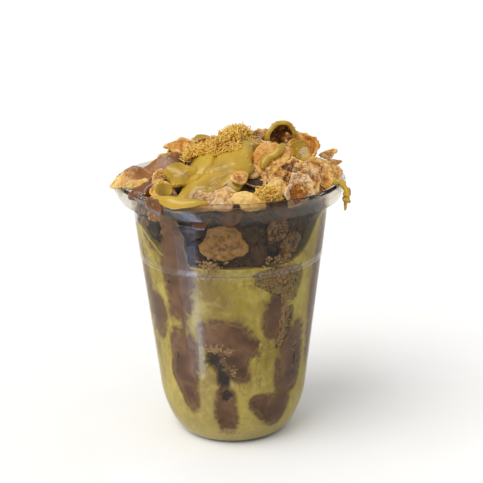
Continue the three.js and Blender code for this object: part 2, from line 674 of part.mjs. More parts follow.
for (const [name, spec] of Object.entries(wallFlakes)) {
  addPiece(name, 'flakeDark', (grow) => flakeSolid(wallFlakeSpec(spec), grow));
}
for (const [name, spec] of Object.entries(topFlakes)) {
  addPiece(name, spec.look ?? 'flake', (grow) => toppedFlake(spec, grow));
}
for (const [name, spec] of Object.entries(kataifiLumps)) {
  addPiece(name, 'kataifi', (grow) => kataifiSolid(spec, grow));
}
for (const [name, spec] of Object.entries(wallKataifi)) {
  addPiece(name, 'kataifi', (grow) => wallPatch(spec, grow));
}
for (const [name, spec] of Object.entries(chocolatePatches)) {
  addPiece(name, 'chocolate', (grow) => wallPatch(spec, grow));
}
addPiece('sauceDripRight', 'pistachio', rightDrip);
for (const [name, spec] of Object.entries(lipSauces)) {
  addPiece(name, name.startsWith('chocolate') ? 'chocolate' : 'pistachio', (grow) => lipDrape(spec, grow));
}
for (const [name, spec] of Object.entries(sauces)) {
  addPiece(name, name.startsWith('chocolate') ? 'chocolate' : 'pistachio', (grow) => planSlab(spec, grow));
}

// The cream fills the cup up to its uneven top. The disc is wider than the cup, so that the
// cup's wall alone shapes its side.
function creamSolid(grow) {
  const wide = 1.3 * cup.neckR;
  const tall = discSolid(16, 4, (u, v, rho, side) => {
    const x = wide * u;
    const y = wide * v;
    return [x, y, side > 0 ? creamTop(x, y) + grow : (side < 0 ? -gap : cream.level / 2)];
  });
  return room.intersect(tall);
}
addPiece('pistachioCream', 'pistachio', creamSolid);

// The heap: a core under all the rest, with the flakes that show at the back and in the gaps
// fused on.
function heapSolid() {
  const core = discSolid(16, 4, (u, v, rho, side) => {
    const wide = side < 0 ? heap.coreR - heap.coreTaper * rho : heap.coreR;
    const x = wide * u;
    const y = wide * v;
    const top = heapHeight(x, y) - heap.coreDepth - 2 * rho ** 6 + 0.9 * ripple(x, y, 5);
    return [x, y, side > 0 ? top : (side < 0 ? heap.coreFootZ : heap.coreRimZ)];
  });
  const draw = seeded(77);
  let solid = core;
  for (let i = 0; i < heap.wallFlakes; i++) {
    const azimuth = 78 + (i / heap.wallFlakes) * 214 + 6 * draw();
    const size = [6 + 2 * draw(), 4.5 + 1.5 * draw()];
    const curl = 60 * (draw() - 0.5);
    const z = 93 + 9 * (i % 2) + 2 * draw();
    const face = [azimuth, 84, 180 * draw()];
    const spec = { at: wallPoint(azimuth, z, 2.2), size, face, curl, seed: 60 + i, segments: 8 };
    solid = solid.add(flakeSolid(spec, 0));
  }
  for (let i = 0; i < heap.topFlakes; i++) {
    const azimuth = 80 + 200 * ((i * 0.618) % 1);
    const r = heap.coreR * Math.sqrt((i + 1.5) / (heap.topFlakes + 1));
    const x = r * Math.sin(rad(azimuth));
    const y = -r * Math.cos(rad(azimuth));
    const size = [5.5 + 2.5 * draw(), 4 + 2 * draw()];
    const curl = 140 * (draw() - 0.5);
    const face = [azimuth + 40 * (draw() - 0.5), 15 + r * 0.9, 180 * draw()];
    const spec = { at: [x, y, heapHeight(x, y) - 0.4], size, face, curl, seed: 90 + i, segments: 8 };
    solid = solid.add(flakeSolid(spec, 0));
  }
  return solid;
}
addMesh('flakeHeap', cutClear(heapSolid()), 'flake');

export default dessertPot;
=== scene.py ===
import functools
import json
import math
import random

import bmesh
import bpy
import numpy as np
from mathutils import Matrix, Vector, noise
from mathutils.bvhtree import BVHTree

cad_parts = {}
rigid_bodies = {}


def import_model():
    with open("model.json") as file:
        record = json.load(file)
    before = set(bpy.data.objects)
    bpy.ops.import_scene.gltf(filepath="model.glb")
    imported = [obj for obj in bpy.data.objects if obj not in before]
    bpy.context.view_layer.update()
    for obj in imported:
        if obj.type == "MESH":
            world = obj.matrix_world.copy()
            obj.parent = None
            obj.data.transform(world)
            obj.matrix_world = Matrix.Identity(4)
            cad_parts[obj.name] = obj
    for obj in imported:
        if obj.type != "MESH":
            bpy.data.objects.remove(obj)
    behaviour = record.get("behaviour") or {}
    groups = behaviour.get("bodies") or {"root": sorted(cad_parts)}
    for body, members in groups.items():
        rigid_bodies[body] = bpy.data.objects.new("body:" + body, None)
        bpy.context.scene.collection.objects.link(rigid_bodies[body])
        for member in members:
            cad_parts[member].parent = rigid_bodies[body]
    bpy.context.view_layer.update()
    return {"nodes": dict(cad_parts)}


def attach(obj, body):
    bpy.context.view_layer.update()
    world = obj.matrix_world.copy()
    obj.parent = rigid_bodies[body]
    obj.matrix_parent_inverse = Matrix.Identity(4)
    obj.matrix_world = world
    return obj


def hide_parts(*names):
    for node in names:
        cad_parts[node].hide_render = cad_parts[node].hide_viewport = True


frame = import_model()
mm = 0.001
scene = bpy.context.scene
print("frame loaded:", len(frame["nodes"]), "solids")


cameraSetup = {
    "place": (0.0, -450.0, 219.641),
    "right": (0.999805, -0.014153, -0.013800),
    "up": (0.017301, 0.288799, 0.957234),
    "focalPixels": 1091.083,          # for a picture 483 pixels wide
    "pictureWidth": 483,
    "sensor": 36.0,
}


def makeCamera(setup):
    data = bpy.data.cameras.new("photoCamera")
    data.sensor_width = setup["sensor"]
    data.lens = setup["focalPixels"] / setup["pictureWidth"] * setup["sensor"]
    data.clip_start = 0.01
    data.clip_end = 60
    camera = bpy.data.objects.new("photoCamera", data)
    right = Vector(setup["right"]).normalized()
    up = Vector(setup["up"])
    back = right.cross(up).normalized()
    up = back.cross(right)
    turn = Matrix((right, up, back)).transposed().to_4x4()
    camera.matrix_world = Matrix.Translation(Vector(setup["place"]) * mm) @ turn
    scene.collection.objects.link(camera)
    scene.camera = camera


def linearColour(code, alpha=1.0):
    shares = [int(code[i:i + 2], 16) / 255 for i in (0, 2, 4)]
    return (*[s / 12.92 if s <= 0.04045 else ((s + 0.055) / 1.055) ** 2.4 for s in shares], alpha)


# adds a node, named without the ShaderNode in front; inputs take plain values, hex colours, sockets or
# nodes (their result), and stops fill a ramp
def addNode(tree, kind, inputs=None, stops=(), **settings):
    node = tree.nodes.new("ShaderNode" + kind)
    if kind == "Mix":
        node.data_type = "RGBA"
    for key, value in settings.items():
        setattr(node, key, value)
    for index, (place, code) in enumerate(stops):
        ramp = node.color_ramp.elements
        element = ramp[index] if index < len(ramp) else ramp.new(place)
        element.position = place
        element.color = linearColour(code)
    for key, value in (inputs or {}).items():
        if isinstance(value, bpy.types.Node):
            value = value.outputs[2 if value.bl_idname == "ShaderNodeMix" else 0]
        if isinstance(value, bpy.types.NodeSocket):
            tree.links.new(value, node.inputs[key])
        else:
            node.inputs[key].default_value = linearColour(value) if isinstance(value, str) else value
    return node


# a material, the function that adds to it and the place on the object
def newMaterial(name):
    material = bpy.data.materials.new(name)
    material.use_nodes = True
    material.node_tree.nodes.clear()
    add = functools.partial(addNode, material.node_tree)
    return material, add, add("TexCoord").outputs["Object"]


def addSurface(add, inputs):
    add("OutputMaterial", {"Surface": add("BsdfPrincipled", {"IOR": 1.45, **inputs})})


# noise whose grain is about a real size in millimetres
def perMm(size):
    return 1000.0 / size


lightSetup = {
    "world": ("ffffff", 0.66),
    "sun": {"from": (-0.50, -0.36, 0.86), "angle": 48, "strength": 1.75, "colour": "fffdf8"},
    # upright strips left of the cup give the soft streak down its wall, a level one above it the glints
    "strips": [
        {"place": (-0.050, -0.057, 0.042), "width": 0.030, "height": 0.074, "watts": 0.022,
         "aim": (-0.0155, -0.0365, 0.042)},
        {"place": (-0.047, -0.060, 0.038), "width": 0.014, "height": 0.070, "watts": 0.013,
         "aim": (-0.0155, -0.0365, 0.038)},
        {"place": (-0.046, -0.061, 0.020), "width": 0.008, "height": 0.036, "watts": 0.004,
         "aim": (-0.0155, -0.0365, 0.020)},
        {"place": (-0.03, -0.13, 0.40), "width": 0.26, "height": 0.009, "watts": 0.13,
         "aim": (0, -0.03, 0.11)},
    ],
    "stripColour": "c4d8ff",
}


def placeLamp(lamp, place, aim):
    lamp.location = place
    lamp.rotation_mode = "QUATERNION"
    lamp.rotation_quaternion = (Vector(aim) - Vector(place)).to_track_quat("-Z", "Y")
    lamp.visible_camera = False
    scene.collection.objects.link(lamp)


def makeLight(setup):
    world = bpy.data.worlds.new("paleRoom")
    world.use_nodes = True
    code, strength = setup["world"]
    background = world.node_tree.nodes["Background"]
    background.inputs["Color"].default_value = linearColour(code)
    background.inputs["Strength"].default_value = strength
    scene.world = world
    data = bpy.data.lights.new("softSun", "SUN")
    data.angle = math.radians(setup["sun"]["angle"])
    data.energy = setup["sun"]["strength"]
    data.color = linearColour(setup["sun"]["colour"])[:3]
    placeLamp(bpy.data.objects.new("softSun", data), setup["sun"]["from"], (0, 0, 0))
    for number, strip in enumerate(setup["strips"]):
        data = bpy.data.lights.new(f"strip{number}", "AREA")
        data.shape = "RECTANGLE"
        data.size = strip["width"]
        data.size_y = strip["height"]
        data.energy = strip["watts"]
        data.color = linearColour(setup["stripColour"])[:3]
        lamp = bpy.data.objects.new(f"strip{number}", data)
        placeLamp(lamp, strip["place"], strip["aim"])
        lamp.visible_diffuse = False
        lamp.visible_transmission = False


def makeFloor():
    # matt white paper: nearly even, with a faint grain
    material, add, position = newMaterial("mattPaper")
    grain = add("TexNoise", {"Vector": position, "Scale": 40.0})
    colour = add("ValToRGB", {"Fac": grain}, stops=[(0.3, "fafafa"), (0.7, "fcfcfc")])
    addSurface(add, {"Base Color": colour, "Roughness": 0.85, "IOR": 1.5})
    bm = bmesh.new()
    bmesh.ops.create_grid(bm, x_segments=2, y_segments=2, size=8.0)
    mesh = bpy.data.meshes.new("floor")
    bm.to_mesh(mesh)
    bm.free()
    mesh.materials.append(material)
    floor = bpy.data.objects.new("floor", mesh)
    scene.collection.objects.link(floor)


makeCamera(cameraSetup)
makeLight(lightSetup)
makeFloor()
scene.view_settings.view_transform = "Standard"
print("camera, light and floor made")


def clamp(value, low, high):
    return max(low, min(high, value))


def smoothShare(value, low, high):
    share = clamp((value - low) / (high - low), 0.0, 1.0)
    return share * share * (3 - 2 * share)


def lerp(a, b, share):
    return a + (b - a) * share


# where a smooth curve through four points is, t of the way from the second to the third
def splineAt(four, t):
    return [0.5 * (2 * b + (c - a) * t + (2 * a - 5 * b + 4 * c - d) * t * t
                   + (3 * b - a - 3 * c + d) * t ** 3) for a, b, c, d in zip(*four)]


# a closed smooth curve through points, turn runs from 0 to 1
def outlineAt(points, turn):
    place = (turn % 1.0) * len(points)
    index = int(place)
    return splineAt([points[(index + k) % len(points)] for k in (-1, 0, 1, 2)], place - index)


def openCurveAt(points, share):
    place = clamp(share, 0.0, 1.0) * (len(points) - 1)
    index = min(int(place), len(points) - 2)
    return Vector(splineAt([points[clamp(index + k, 0, len(points) - 1)] for k in (-1, 0, 1, 2)],
                           place - index))


def lump(point, size, seed=0.0):
    return noise.noise(Vector(point) / size + Vector((seed * 3.7, seed * 1.9, seed * 5.3)))


# blisters: round bumps about a size across, 0 between them and 1 on top
def blister(point, size, seed=0.0):
    near = noise.voronoi(Vector(point) / size + Vector((seed, 2 * seed, 3 * seed)))[0][0]
    return smoothShare(0.62 - near, 0.0, 0.5)


def addPiece(name, bm, material, nodes):
    mesh = bpy.data.meshes.new(name)
    bm.to_mesh(mesh)
    bm.free()
    addMesh(name, mesh, material, nodes)


def addMesh(name, mesh, material, nodes):
    mesh.shade_smooth()
    mesh.materials.append(material)
    piece = bpy.data.objects.new(name, mesh)
    scene.collection.objects.link(piece)
    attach(piece, "root")
    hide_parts(*nodes)


# A closed disc bent into shape: place(u, v, rho, height) gives the point in millimetres, and
# values, if any, for the attributes named.
def bendDisc(detail, place, attributes=()):
    bm = bmesh.new()
    bmesh.ops.create_icosphere(bm, subdivisions=detail, radius=1.0)
    layers = [bm.verts.layers.float.new(name) for name in attributes]
    for vert in bm.verts:
        height = clamp(vert.co.z, -1.0, 1.0)
        angle = math.atan2(vert.co.y, vert.co.x)
        rho = 1 - abs(math.asin(height)) / (math.pi / 2)
        point, values = place(rho * math.cos(angle), rho * math.sin(angle), rho, height)
        vert.co = Vector(point) * mm
        for layer, value in zip(layers, values):
            vert[layer] = value
    return bm


# A round body along an open curve, with a radius at each share of its length.
def bendTube(points, radii, sides, rings, wobble=0.0):
    bm = bmesh.new()
    bmesh.ops.create_cone(bm, cap_ends=True, segments=sides, radius1=1, radius2=1, depth=1)
    upright = [e for e in bm.edges if abs(e.verts[0].co.z - e.verts[1].co.z) > 0.5]
    bmesh.ops.subdivide_edges(bm, edges=upright, cuts=rings, use_grid_fill=True)
    side = Vector((0.0, -1.0, 0.15)).normalized()
    for vert in bm.verts:
        share = vert.co.z + 0.5
        along = (openCurveAt(points, share + 0.01) - openCurveAt(points, share - 0.01)).normalized()
        first = along.cross(side).normalized()
        second = along.cross(first)
        radius = openCurveAt([(r, 0) for r in radii], share).x
        centre = openCurveAt(points, share)
        radius *= 1 + wobble * lump(centre + Vector((vert.co.x, vert.co.y, 0)), 1.5, 8)
        vert.co = (centre + first * (radius * vert.co.x) + second * (radius * vert.co.y)) * mm
    bmesh.ops.recalc_face_normals(bm, faces=bm.faces)
    return bm


cup = {
    "wall": 0.7, "footR": 23.0, "heelR": 32.3, "heelZ": 22.5, "heelPower": 1.46, "puntR": 21.9,
    "puntZ": 5.2, "neckR": 41.4, "neckZ": 101.0, "ledgeZ": 80.0, "ledgeStep": 0.16,
    "lipRootR": 42.5, "lipRootZ": 107.5, "lipR": 49.0, "lipZ": 110.0, "crestR": 48.0,
    "crestZ": 113.0, "skirtR": 46.4, "skirtZ": 105.1,
    "heelSteps": 22, "turnSteps": 144,
    "intoWall": 0.14,                 # how far the cream reaches into the wall
    "clear": 0.16,                    # what flakes and crumbs keep clear of it
}


def outerWall():
    power = 2 / cup["heelPower"]
    line = []
    for i in range(cup["heelSteps"], -1, -1):
        turn = i / cup["heelSteps"] * math.pi / 2
        r = cup["footR"] + (cup["heelR"] - cup["footR"]) * math.cos(turn) ** power
        line.append((r, cup["heelZ"] * (1 - math.sin(turn) ** power)))
    slope = (cup["neckR"] - cup["heelR"]) / (cup["neckZ"] - cup["heelZ"])
    ledgeR = cup["heelR"] + slope * (cup["ledgeZ"] - cup["heelZ"])
    for z in (40.0, 60.0, 77.0):
        line.append((cup["heelR"] + slope * (z - cup["heelZ"]), z))
    for offset, step in ((-1.0, -0.9), (-0.35, -1.0), (0.0, 1.2), (0.3, 2.5), (0.75, 1.0), (1.1, 1.0)):
        line.append((ledgeR + slope * offset + cup["ledgeStep"] * step, cup["ledgeZ"] + offset))
    line += [(cup["neckR"] - 0.35, cup["neckZ"] - 3.0), (cup["neckR"] - 0.05, cup["neckZ"] - 0.4),
             (cup["neckR"] + 0.4, cup["neckZ"] + 0.5), (cup["neckR"] + 0.55, cup["neckZ"] + 1.4),
             (cup["lipRootR"] - 0.1, cup["lipRootZ"] - 1.2), (cup["lipRootR"] + 0.2, cup["lipRootZ"])]
    return line


def offsetLine(line, distance):
    moved = []
    for i, point in enumerate(line):
        before = Vector(line[max(i - 1, 0)])
        after = Vector(line[min(i + 1, len(line) - 1)])
        along = (after - before).normalized()
        moved.append((point[0] - along.y * distance, point[1] + along.x * distance))
    return moved


outerLine = outerWall()
innerLine = offsetLine(outerLine, cup["wall"])
innerZ = [z for r, z in innerLine]
innerR = [r for r, z in innerLine]


def innerRadius(z):
    return float(np.interp(z, innerZ, innerR))


# the radius to which the cream goes, a little into the wall
def fillRadius(z):
    return innerRadius(z) + cup["intoWall"]


def wallPoint(azimuth, z, inward):
    r = innerRadius(z) - inward
    turn = math.radians(azimuth)
    return (r * math.sin(turn), -r * math.cos(turn), z)


limitZ = innerZ + [cup["crestZ"], cup["crestZ"] + 0.01]
limitR = innerR + [cup["crestR"] - 1.4, 1000.0]


# holds points of the filling within the cup, up to its lip
def keepInside(points, gap=cup["clear"]):
    points = np.asarray(points, float)
    limit = np.interp(points[..., 2], limitZ, limitR) - gap
    share = np.minimum(1.0, limit / np.maximum(np.hypot(points[..., 0], points[..., 1]), 1e-6))
    return points * np.stack([share, share, np.ones_like(share)], axis=-1)


# cuts the corners of a line three times, as a rolled plastic edge has no sharp ones
def roundLine(line):
    for _ in range(3):
        cut = [line[0]]
        for a, b in zip(line, line[1:]):
            cut += [(lerp(a[0], b[0], 0.25), lerp(a[1], b[1], 0.25)),
                    (lerp(a[0], b[0], 0.75), lerp(a[1], b[1], 0.75))]
        line = cut + [line[-1]]
    return line


def cupProfile():
    wall = cup["wall"]
    base = [(0, cup["puntZ"] - wall), (cup["puntR"] - 3.0, cup["puntZ"] - wall),
            (cup["puntR"] - 1.2, cup["puntZ"] - wall - 0.2), (cup["puntR"] - 0.4, cup["puntZ"] - 1.6),
            (cup["footR"] - 1.1, 0.5), (cup["footR"] - 0.7, 0.04)]
    lip = [(cup["crestR"] - 0.7, cup["crestZ"] - wall - 0.4), (cup["lipR"] - wall - 0.1, cup["lipZ"]),
           (cup["skirtR"] - 0.3, cup["skirtZ"] + 0.2), (cup["skirtR"], cup["skirtZ"]),
           (cup["skirtR"] + 0.4, cup["skirtZ"] + 0.1), (cup["lipR"], cup["lipZ"] - 0.3),
           (cup["lipR"], cup["lipZ"] + 0.8), (cup["lipR"] - 0.3, cup["lipZ"] + 2.4),
           (cup["crestR"] - 0.1, cup["crestZ"]), (cup["crestR"] - 1.2, cup["crestZ"] - 0.1),
           (cup["lipRootR"] + 0.3, cup["lipRootZ"] + 1.7)]
    inside = [(cup["footR"] - 0.6, wall + 0.15), (cup["puntR"], cup["puntZ"] - 0.9),
              (cup["puntR"] - 1.1, cup["puntZ"]), (0, cup["puntZ"])]
    upper = [point for point in outerLine if point[1] > cup["neckZ"]]
    lower = [point for point in outerLine if point[1] <= cup["neckZ"]]
    rolled = roundLine([lower[-1]] + upper + lip + innerLine[::-1][:len(upper) + 1])
    return base + lower[:-1] + rolled + innerLine[::-1][len(upper) + 1:] + inside


def spinProfile(points, steps):
    bm = bmesh.new()
    verts = [bm.verts.new((r * mm, 0, z * mm)) for r, z in points]
    edges = [bm.edges.new(pair) for pair in zip(verts, verts[1:])]
    bmesh.ops.spin(bm, geom=verts + edges, cent=(0, 0, 0), axis=(0, 0, 1), angle=2 * math.pi,
                   steps=steps, use_merge=True, use_duplicate=False)
    bmesh.ops.remove_doubles(bm, verts=bm.verts, dist=1e-6)
    bmesh.ops.recalc_face_normals(bm, faces=bm.faces)
    return bm


def makeCupMaterial():
    # clear PET, pressed so thin that it hardly bends what is behind it; its gloss is the coat,
    # strongest on foot, ledge and lip, and a faint orange peel breaks up the streaks
    material, add, position = newMaterial("clearPet")
    peel = add("TexNoise", {"Vector": position, "Scale": perMm(9), "Detail": 2.0})
    bump = add("Bump", {"Height": peel, "Strength": 0.12, "Distance": 0.4 * mm})
    height = add("SeparateXYZ", {0: position}).outputs["Z"]
    share = add("MapRange", {"Value": height, "From Max": cup["crestZ"] * mm})
    gloss = add("ValToRGB", {"Fac": share}, stops=[
        (0.03, "e8e8e8"), (0.1, "909090"), (0.7, "909090"), (0.708, "ffffff"), (0.722, "ffffff"),
        (0.735, "909090"), (0.9, "909090"), (0.94, "b4b4b4")])
    # painted shade: the plastic is tinted warm grey, for the dark room it would reflect
    plastic = add("BsdfPrincipled", {"Base Color": "dad2c6", "Roughness": 0.04, "IOR": 1.04,
                                     "Transmission Weight": 1.0, "Coat Weight": gloss, "Coat IOR": 1.5,
                                     "Coat Roughness": 0.05, "Normal": bump})
    clear = add("BsdfTransparent", {"Color": "f2f2f0"})
    path = add("LightPath")
    both = add("MixShader", {0: path.outputs["Is Shadow Ray"], 1: plastic, 2: clear})
    add("OutputMaterial", {"Surface": both})
    return material


addPiece("clearCup", spinProfile(cupProfile(), cup["turnSteps"]), makeCupMaterial(), ["cup"])
print("cup spun")


cream = {"level": 83.8, "dip": 3.0, "climbs": [(-72, 13, 24), (70, 20, 17), (180, 5, 50)],
         "rowHeight": 1.1, "turnSteps": 200}


def creamTop(x, y):
    azimuth = math.degrees(math.atan2(x, -y))
    r = math.hypot(x, y) / cup["neckR"]
    rise = 0.0
    for middle, height, halfWidth in cream["climbs"]:
        turn = abs(azimuth - middle)
        rise += height * math.exp(-(min(turn, 360 - turn) / halfWidth) ** 2)
    return cream["level"] - cream["dip"] * (1 - r) + rise * r * r


# azimuth and height round each patch, and its depth from the wall
chocolatePatches = {
    "chocolateStreak": (2.2, [(-27, 92), (-32, 104), (-42, 104), (-45, 90), (-44, 76), (-41, 64),
                              (-35, 60), (-29, 66), (-25, 80)]),
    "chocolateCentre": (4.0, [(17, 48), (8, 57), (-7, 60), (-20, 58), (-19, 50), (-8, 44), (-1, 36),
                              (9, 34), (9, 42)]),
    "chocolateLeft": (3.4, [(-28, 38), (-27, 49), (-36, 54), (-45, 52), (-46, 42), (-48, 32),
                            (-41, 25), (-36, 18), (-30, 20), (-30, 28)]),
    "chocolateEdge": (2.6, [(-51, 58), (-55, 66), (-66, 65), (-67, 54), (-58, 49)]),
    "chocolateFoot": (2.4, [(0, 18), (-2, 27), (-8, 28), (-12, 24), (-12, 12), (-6, 9), (0, 10)]),
    "chocolateHook": (2.4, [(34, 61), (32, 69), (26, 69), (23, 63), (23, 55), (31, 53)]),
    "chocolateRight": (3.6, [(57, 40), (52, 55), (43, 52), (36, 46), (34, 36), (36, 27), (46, 25),
                             (55, 27)]),
    "chocolateCorner": (3.2, [(46, 17), (44, 23), (31, 23), (22, 24), (14, 22), (22, 15), (30, 11),
                              (40, 10)]),
}


# the same simple draw as the solids use, so that the far side matches them
def seededDraw(seed):
    state = [seed * 2654435761 % 4294967296]

    def draw():
        state[0] = (state[0] * 1664525 + 1013904223) % 4294967296
        return state[0] / 4294967296
    return draw


backPatches = [(112, 56, 15, 15), (152, 30, 13, 11), (-172, 60, 12, 15), (-122, 38, 14, 14)]
for number, (azimuth, z, wide, tall) in enumerate(backPatches):
    draw = seededDraw(40 + number)
    ring = []
    for k in range(8):
        turn = k / 8 * 2 * math.pi
        reach = 0.75 + 0.45 * draw()
        ring.append((azimuth + wide * reach * math.cos(turn), z + tall * reach * math.sin(turn)))
    chocolatePatches[f"chocolateBack{number + 1}"] = (3.0, ring)

wallKataifi = {
    "kataifiWall": [(50, 76), (48, 82), (38, 82), (26, 83), (14, 81), (16, 76), (30, 71), (44, 66)],
    "kataifiVein": [(44, 58), (43, 64), (38, 64), (36, 56), (31, 50), (33, 46), (38, 48)],
}

# thin smears of chocolate with no depth, and two long bands at azimuth -70 and 72 of painted shade, darker
# towards the cup's sides: azimuth, height, half width, half height, strength
smearsAndSideShade = [(-34, 54, 6, 12, 0.75), (-36, 68, 5, 8, 0.6), (17, 44, 4, 5, 0.5), (-15, 34, 7, 4, 0.45),
          (-44, 62, 7, 7, 0.5), (-10, 51, 14, 5, 0.7), (3, 61, 10, 4, 0.55), (-3, 68, 9, 5, 0.3),
          (14, 66, 12, 5, 0.28), (38, 20, 9, 5, 0.6), (-7, 16, 7, 8, 0.6), (-45, 30, 6, 7, 0.55),
          (-14, 80, 16, 4, 0.3), (46, 48, 7, 10, 0.5), (128, 44, 14, 8, 0.5), (-150, 50, 12, 9, 0.5),
          (-70, 62, 10, 34, 0.8), (72, 66, 12, 40, 1.4), (-52, 94, 14, 9, 1.0)]

# small air pockets between wall and filling, and their depth: azimuth, height, half width, half height
pocketFull = 1.5
airPockets = [(-14, 42.5, 4.6, 3.8), (-10, 38.5, 2.4, 2.6), (-6.5, 34, 5.2, 3.6), (-5, 26, 3.0, 2.2),
              (49.5, 39, 0.9, 8.0), (-42, 43, 0.8, 2.0)]


def pocketDepth(azimuth, z):
    deep = 0.0
    for middle, height, wide, tall in airPockets:
        u = (azimuth - middle) / wide
        v = (z - height) / tall
        ragged = 0.7 * lump((azimuth, z, 0), 2.0, middle) + 0.5 * lump((azimuth, z, 4), 0.9, middle)
        deep = max(deep, smoothShare(1.15 + ragged - math.hypot(u, v), 0.0, 0.35))
    return pocketFull * deep


# how far a point of the wall is from the outline of a patch, in about mm: above 0 inside, below 0 outside
def patchDepth(points, azimuth, z):
    near = 1e9
    for k in range(len(points) * 4):
        a = outlineAt(points, k / (len(points) * 4))
        near = min(near, math.hypot((azimuth - a[0]) * 0.6, z - a[1]))
    inside = 0
    for k in range(len(points)):
        (a0, z0), (a1, z1) = points[k], points[(k + 1) % len(points)]
        if (z0 > z) != (z1 > z) and azimuth < (a1 - a0) * (z - z0) / (z1 - z0) + a0:
            inside += 1
    return near if inside % 2 else -near


def makeCream():
    top = max(creamTop(r * math.sin(a), -r * math.cos(a)) for r in (38, 40) for a in np.linspace(-3, 3, 60))
    rows = int((top - 1.4) / cream["rowHeight"])
    wall = [(fillRadius(z), z) for z in np.linspace(1.6, top, rows)]
    base = [(0, cup["puntZ"] - 0.12), (cup["puntR"] - 1.1, cup["puntZ"] - 0.12),
            (cup["puntR"] + 0.12, cup["puntZ"] - 1.0), (cup["footR"] - 0.45, cup["wall"])]
    cover = [(r, top) for r in np.linspace(wall[-1][0] - 1.0, 1.0, 30)] + [(0, top)]
    bm = spinProfile(base + wall + cover, cream["turnSteps"])
    nearLayer = bm.verts.layers.float.new("chocolate")
    pocketLayer = bm.verts.layers.float.new("pocket")
    boxes = []
    for depth, ring in chocolatePatches.values():
        azimuths = [p[0] for p in ring]
        heights = [p[1] for p in ring]
        boxes.append((min(azimuths) - 8, max(azimuths) + 8, min(heights) - 6, max(heights) + 6, ring))
    for vert in bm.verts:
        x, y, z = (c / mm for c in vert.co)
        r = math.hypot(x, y)
        azimuth = math.degrees(math.atan2(x, -y)) if r > 1e-6 else 0.0
        level = creamTop(x, y)
        onCover = z > top - 0.01
        if z > 50:
            z = 50 + (z - 50) * (level - 50) / (top - 50)
            z += 0.5 * lump((x, y, z), 4.0, 3) * smoothShare(z, level - 6, level)
            reach = fillRadius(z) / (fillRadius(top) if onCover else max(r, 1e-6))
            x *= reach
            y *= reach
        near = 0.0
        pocket = 0.0
        if not onCover and r > 20:
            for low, high, bottom, ceiling, ring in boxes:
                turned = azimuth + (360 if azimuth < low - 180 else (-360 if azimuth > high + 180 else 0))
                if low < turned < high and bottom < z < ceiling:
                    near = max(near, smoothShare(patchDepth(ring, turned, z), -4.2, 0.2))
            for middle, height, wide, tall, strength in smearsAndSideShade:
                around = (azimuth - middle + 180) % 360 - 180
                away = math.hypot(around / wide, (z - height) / tall)
                near = max(near, strength * (1 - smoothShare(away, 0.2, 1.3)))
            deep = pocketDepth(azimuth, z)
            # the cream under the pressed kataifi is pushed back like a pocket, so it too is coloured as
            # painted shade
            if 8 < azimuth < 56 and 44 < z < 86:
                for ring in wallKataifi.values():
                    deep = max(deep, 2.2 * smoothShare(patchDepth(ring, azimuth, z), -0.6, 1.2))
            pocket = min(1.0, deep / pocketFull)
            x *= 1 - deep / max(r, 1)
            y *= 1 - deep / max(r, 1)
        vert[nearLayer] = near
        vert[pocketLayer] = pocket
        vert.co = Vector((x, y, z)) * mm
    return bm


def makeCreamMaterial():
    # whipped pistachio cream pressed on plastic: matt, mottled, with smears and fine cracks
    material, add, position = newMaterial("pistachioCream")
    height = add("SeparateXYZ", {0: position}).outputs["Z"]
    stretched = add("Mapping", {"Vector": position, "Scale": (1, 1, 0.45)})
    cloud = add("TexNoise", {"Vector": stretched, "Scale": perMm(16), "Detail": 5.0, "Roughness": 0.6,
                             "Distortion": 0.6})
    base = add("ValToRGB", {"Fac": cloud}, stops=[
        (0.36, "8d782b"), (0.46, "a39133"), (0.56, "b1a13b"), (0.66, "c4b555")])
    veinNoise = add("TexNoise", {"Vector": stretched, "Scale": perMm(11), "Detail": 6.0, "Roughness": 0.7,
                                 "Distortion": 1.5})
    fromHalf = add("Math", {0: veinNoise, 1: 0.5}, operation="SUBTRACT")
    size = add("Math", {0: fromHalf}, operation="ABSOLUTE")
    vein = add("MapRange", {"Value": size, "From Max": 0.03, "To Min": 0.75, "To Max": 0.0})
    where = add("TexNoise", {"Vector": position, "Scale": perMm(24), "Detail": 2.0})
    patchy = add("MapRange", {"Value": where, "From Min": 0.42, "From Max": 0.54})
    veins = add("Math", {0: vein, 1: patchy}, operation="MULTIPLY")
    fine = add("TexNoise", {"Vector": position, "Scale": perMm(5), "Detail": 6.0, "Roughness": 0.65,
                            "Distortion": 0.8})
    flecks = add("MapRange", {"Value": fine, "From Min": 0.46, "From Max": 0.66, "To Max": 0.5})
    flecked = add("Mix", {0: flecks, 6: base, 7: "d3c678"})
    cracked = add("Mix", {0: veins, 6: flecked, 7: "6b5026"})
    near = add("Attribute", attribute_name="chocolate").outputs["Fac"]
    ragged = add("MapRange", {"Value": fine, "From Min": 0.35, "From Max": 0.65, "To Min": 0.45,
                              "To Max": 1.55})
    smear = add("Math", {0: near, 1: ragged}, operation="MULTIPLY")
    # painted light: the cream is lighter towards the bottom, where the inward-curving heel gets less light
    low = add("MapRange", {"Value": height, "From Min": 2 * mm, "From Max": 42 * mm, "To Min": 0.6,
                           "To Max": 0.0})
    paintedLightLow = add("Mix", {0: low, 6: cracked, 7: "cfc274"})
    smeared = add("MapRange", {"Value": smear, "From Min": 0.18, "From Max": 0.8, "To Max": 0.95})
    brown = add("Mix", {0: smeared, 6: paintedLightLow, 7: "664529"})
    # painted shade: the air pockets and the bed under the pressed kataifi are coloured near black
    pocket = add("Attribute", attribute_name="pocket").outputs["Fac"]
    colour = add("Mix", {0: pocket, 6: brown, 7: "2b2016"})
    bump = add("Bump", {"Height": fine, "Strength": 0.25, "Distance": 0.3 * mm})
    addSurface(add, {"Base Color": colour, "Roughness": 0.5, "Normal": bump})
    return material


addPiece("cupOfCream", makeCream(), makeCreamMaterial(), ["pistachioCream"])
print("cream filled in")


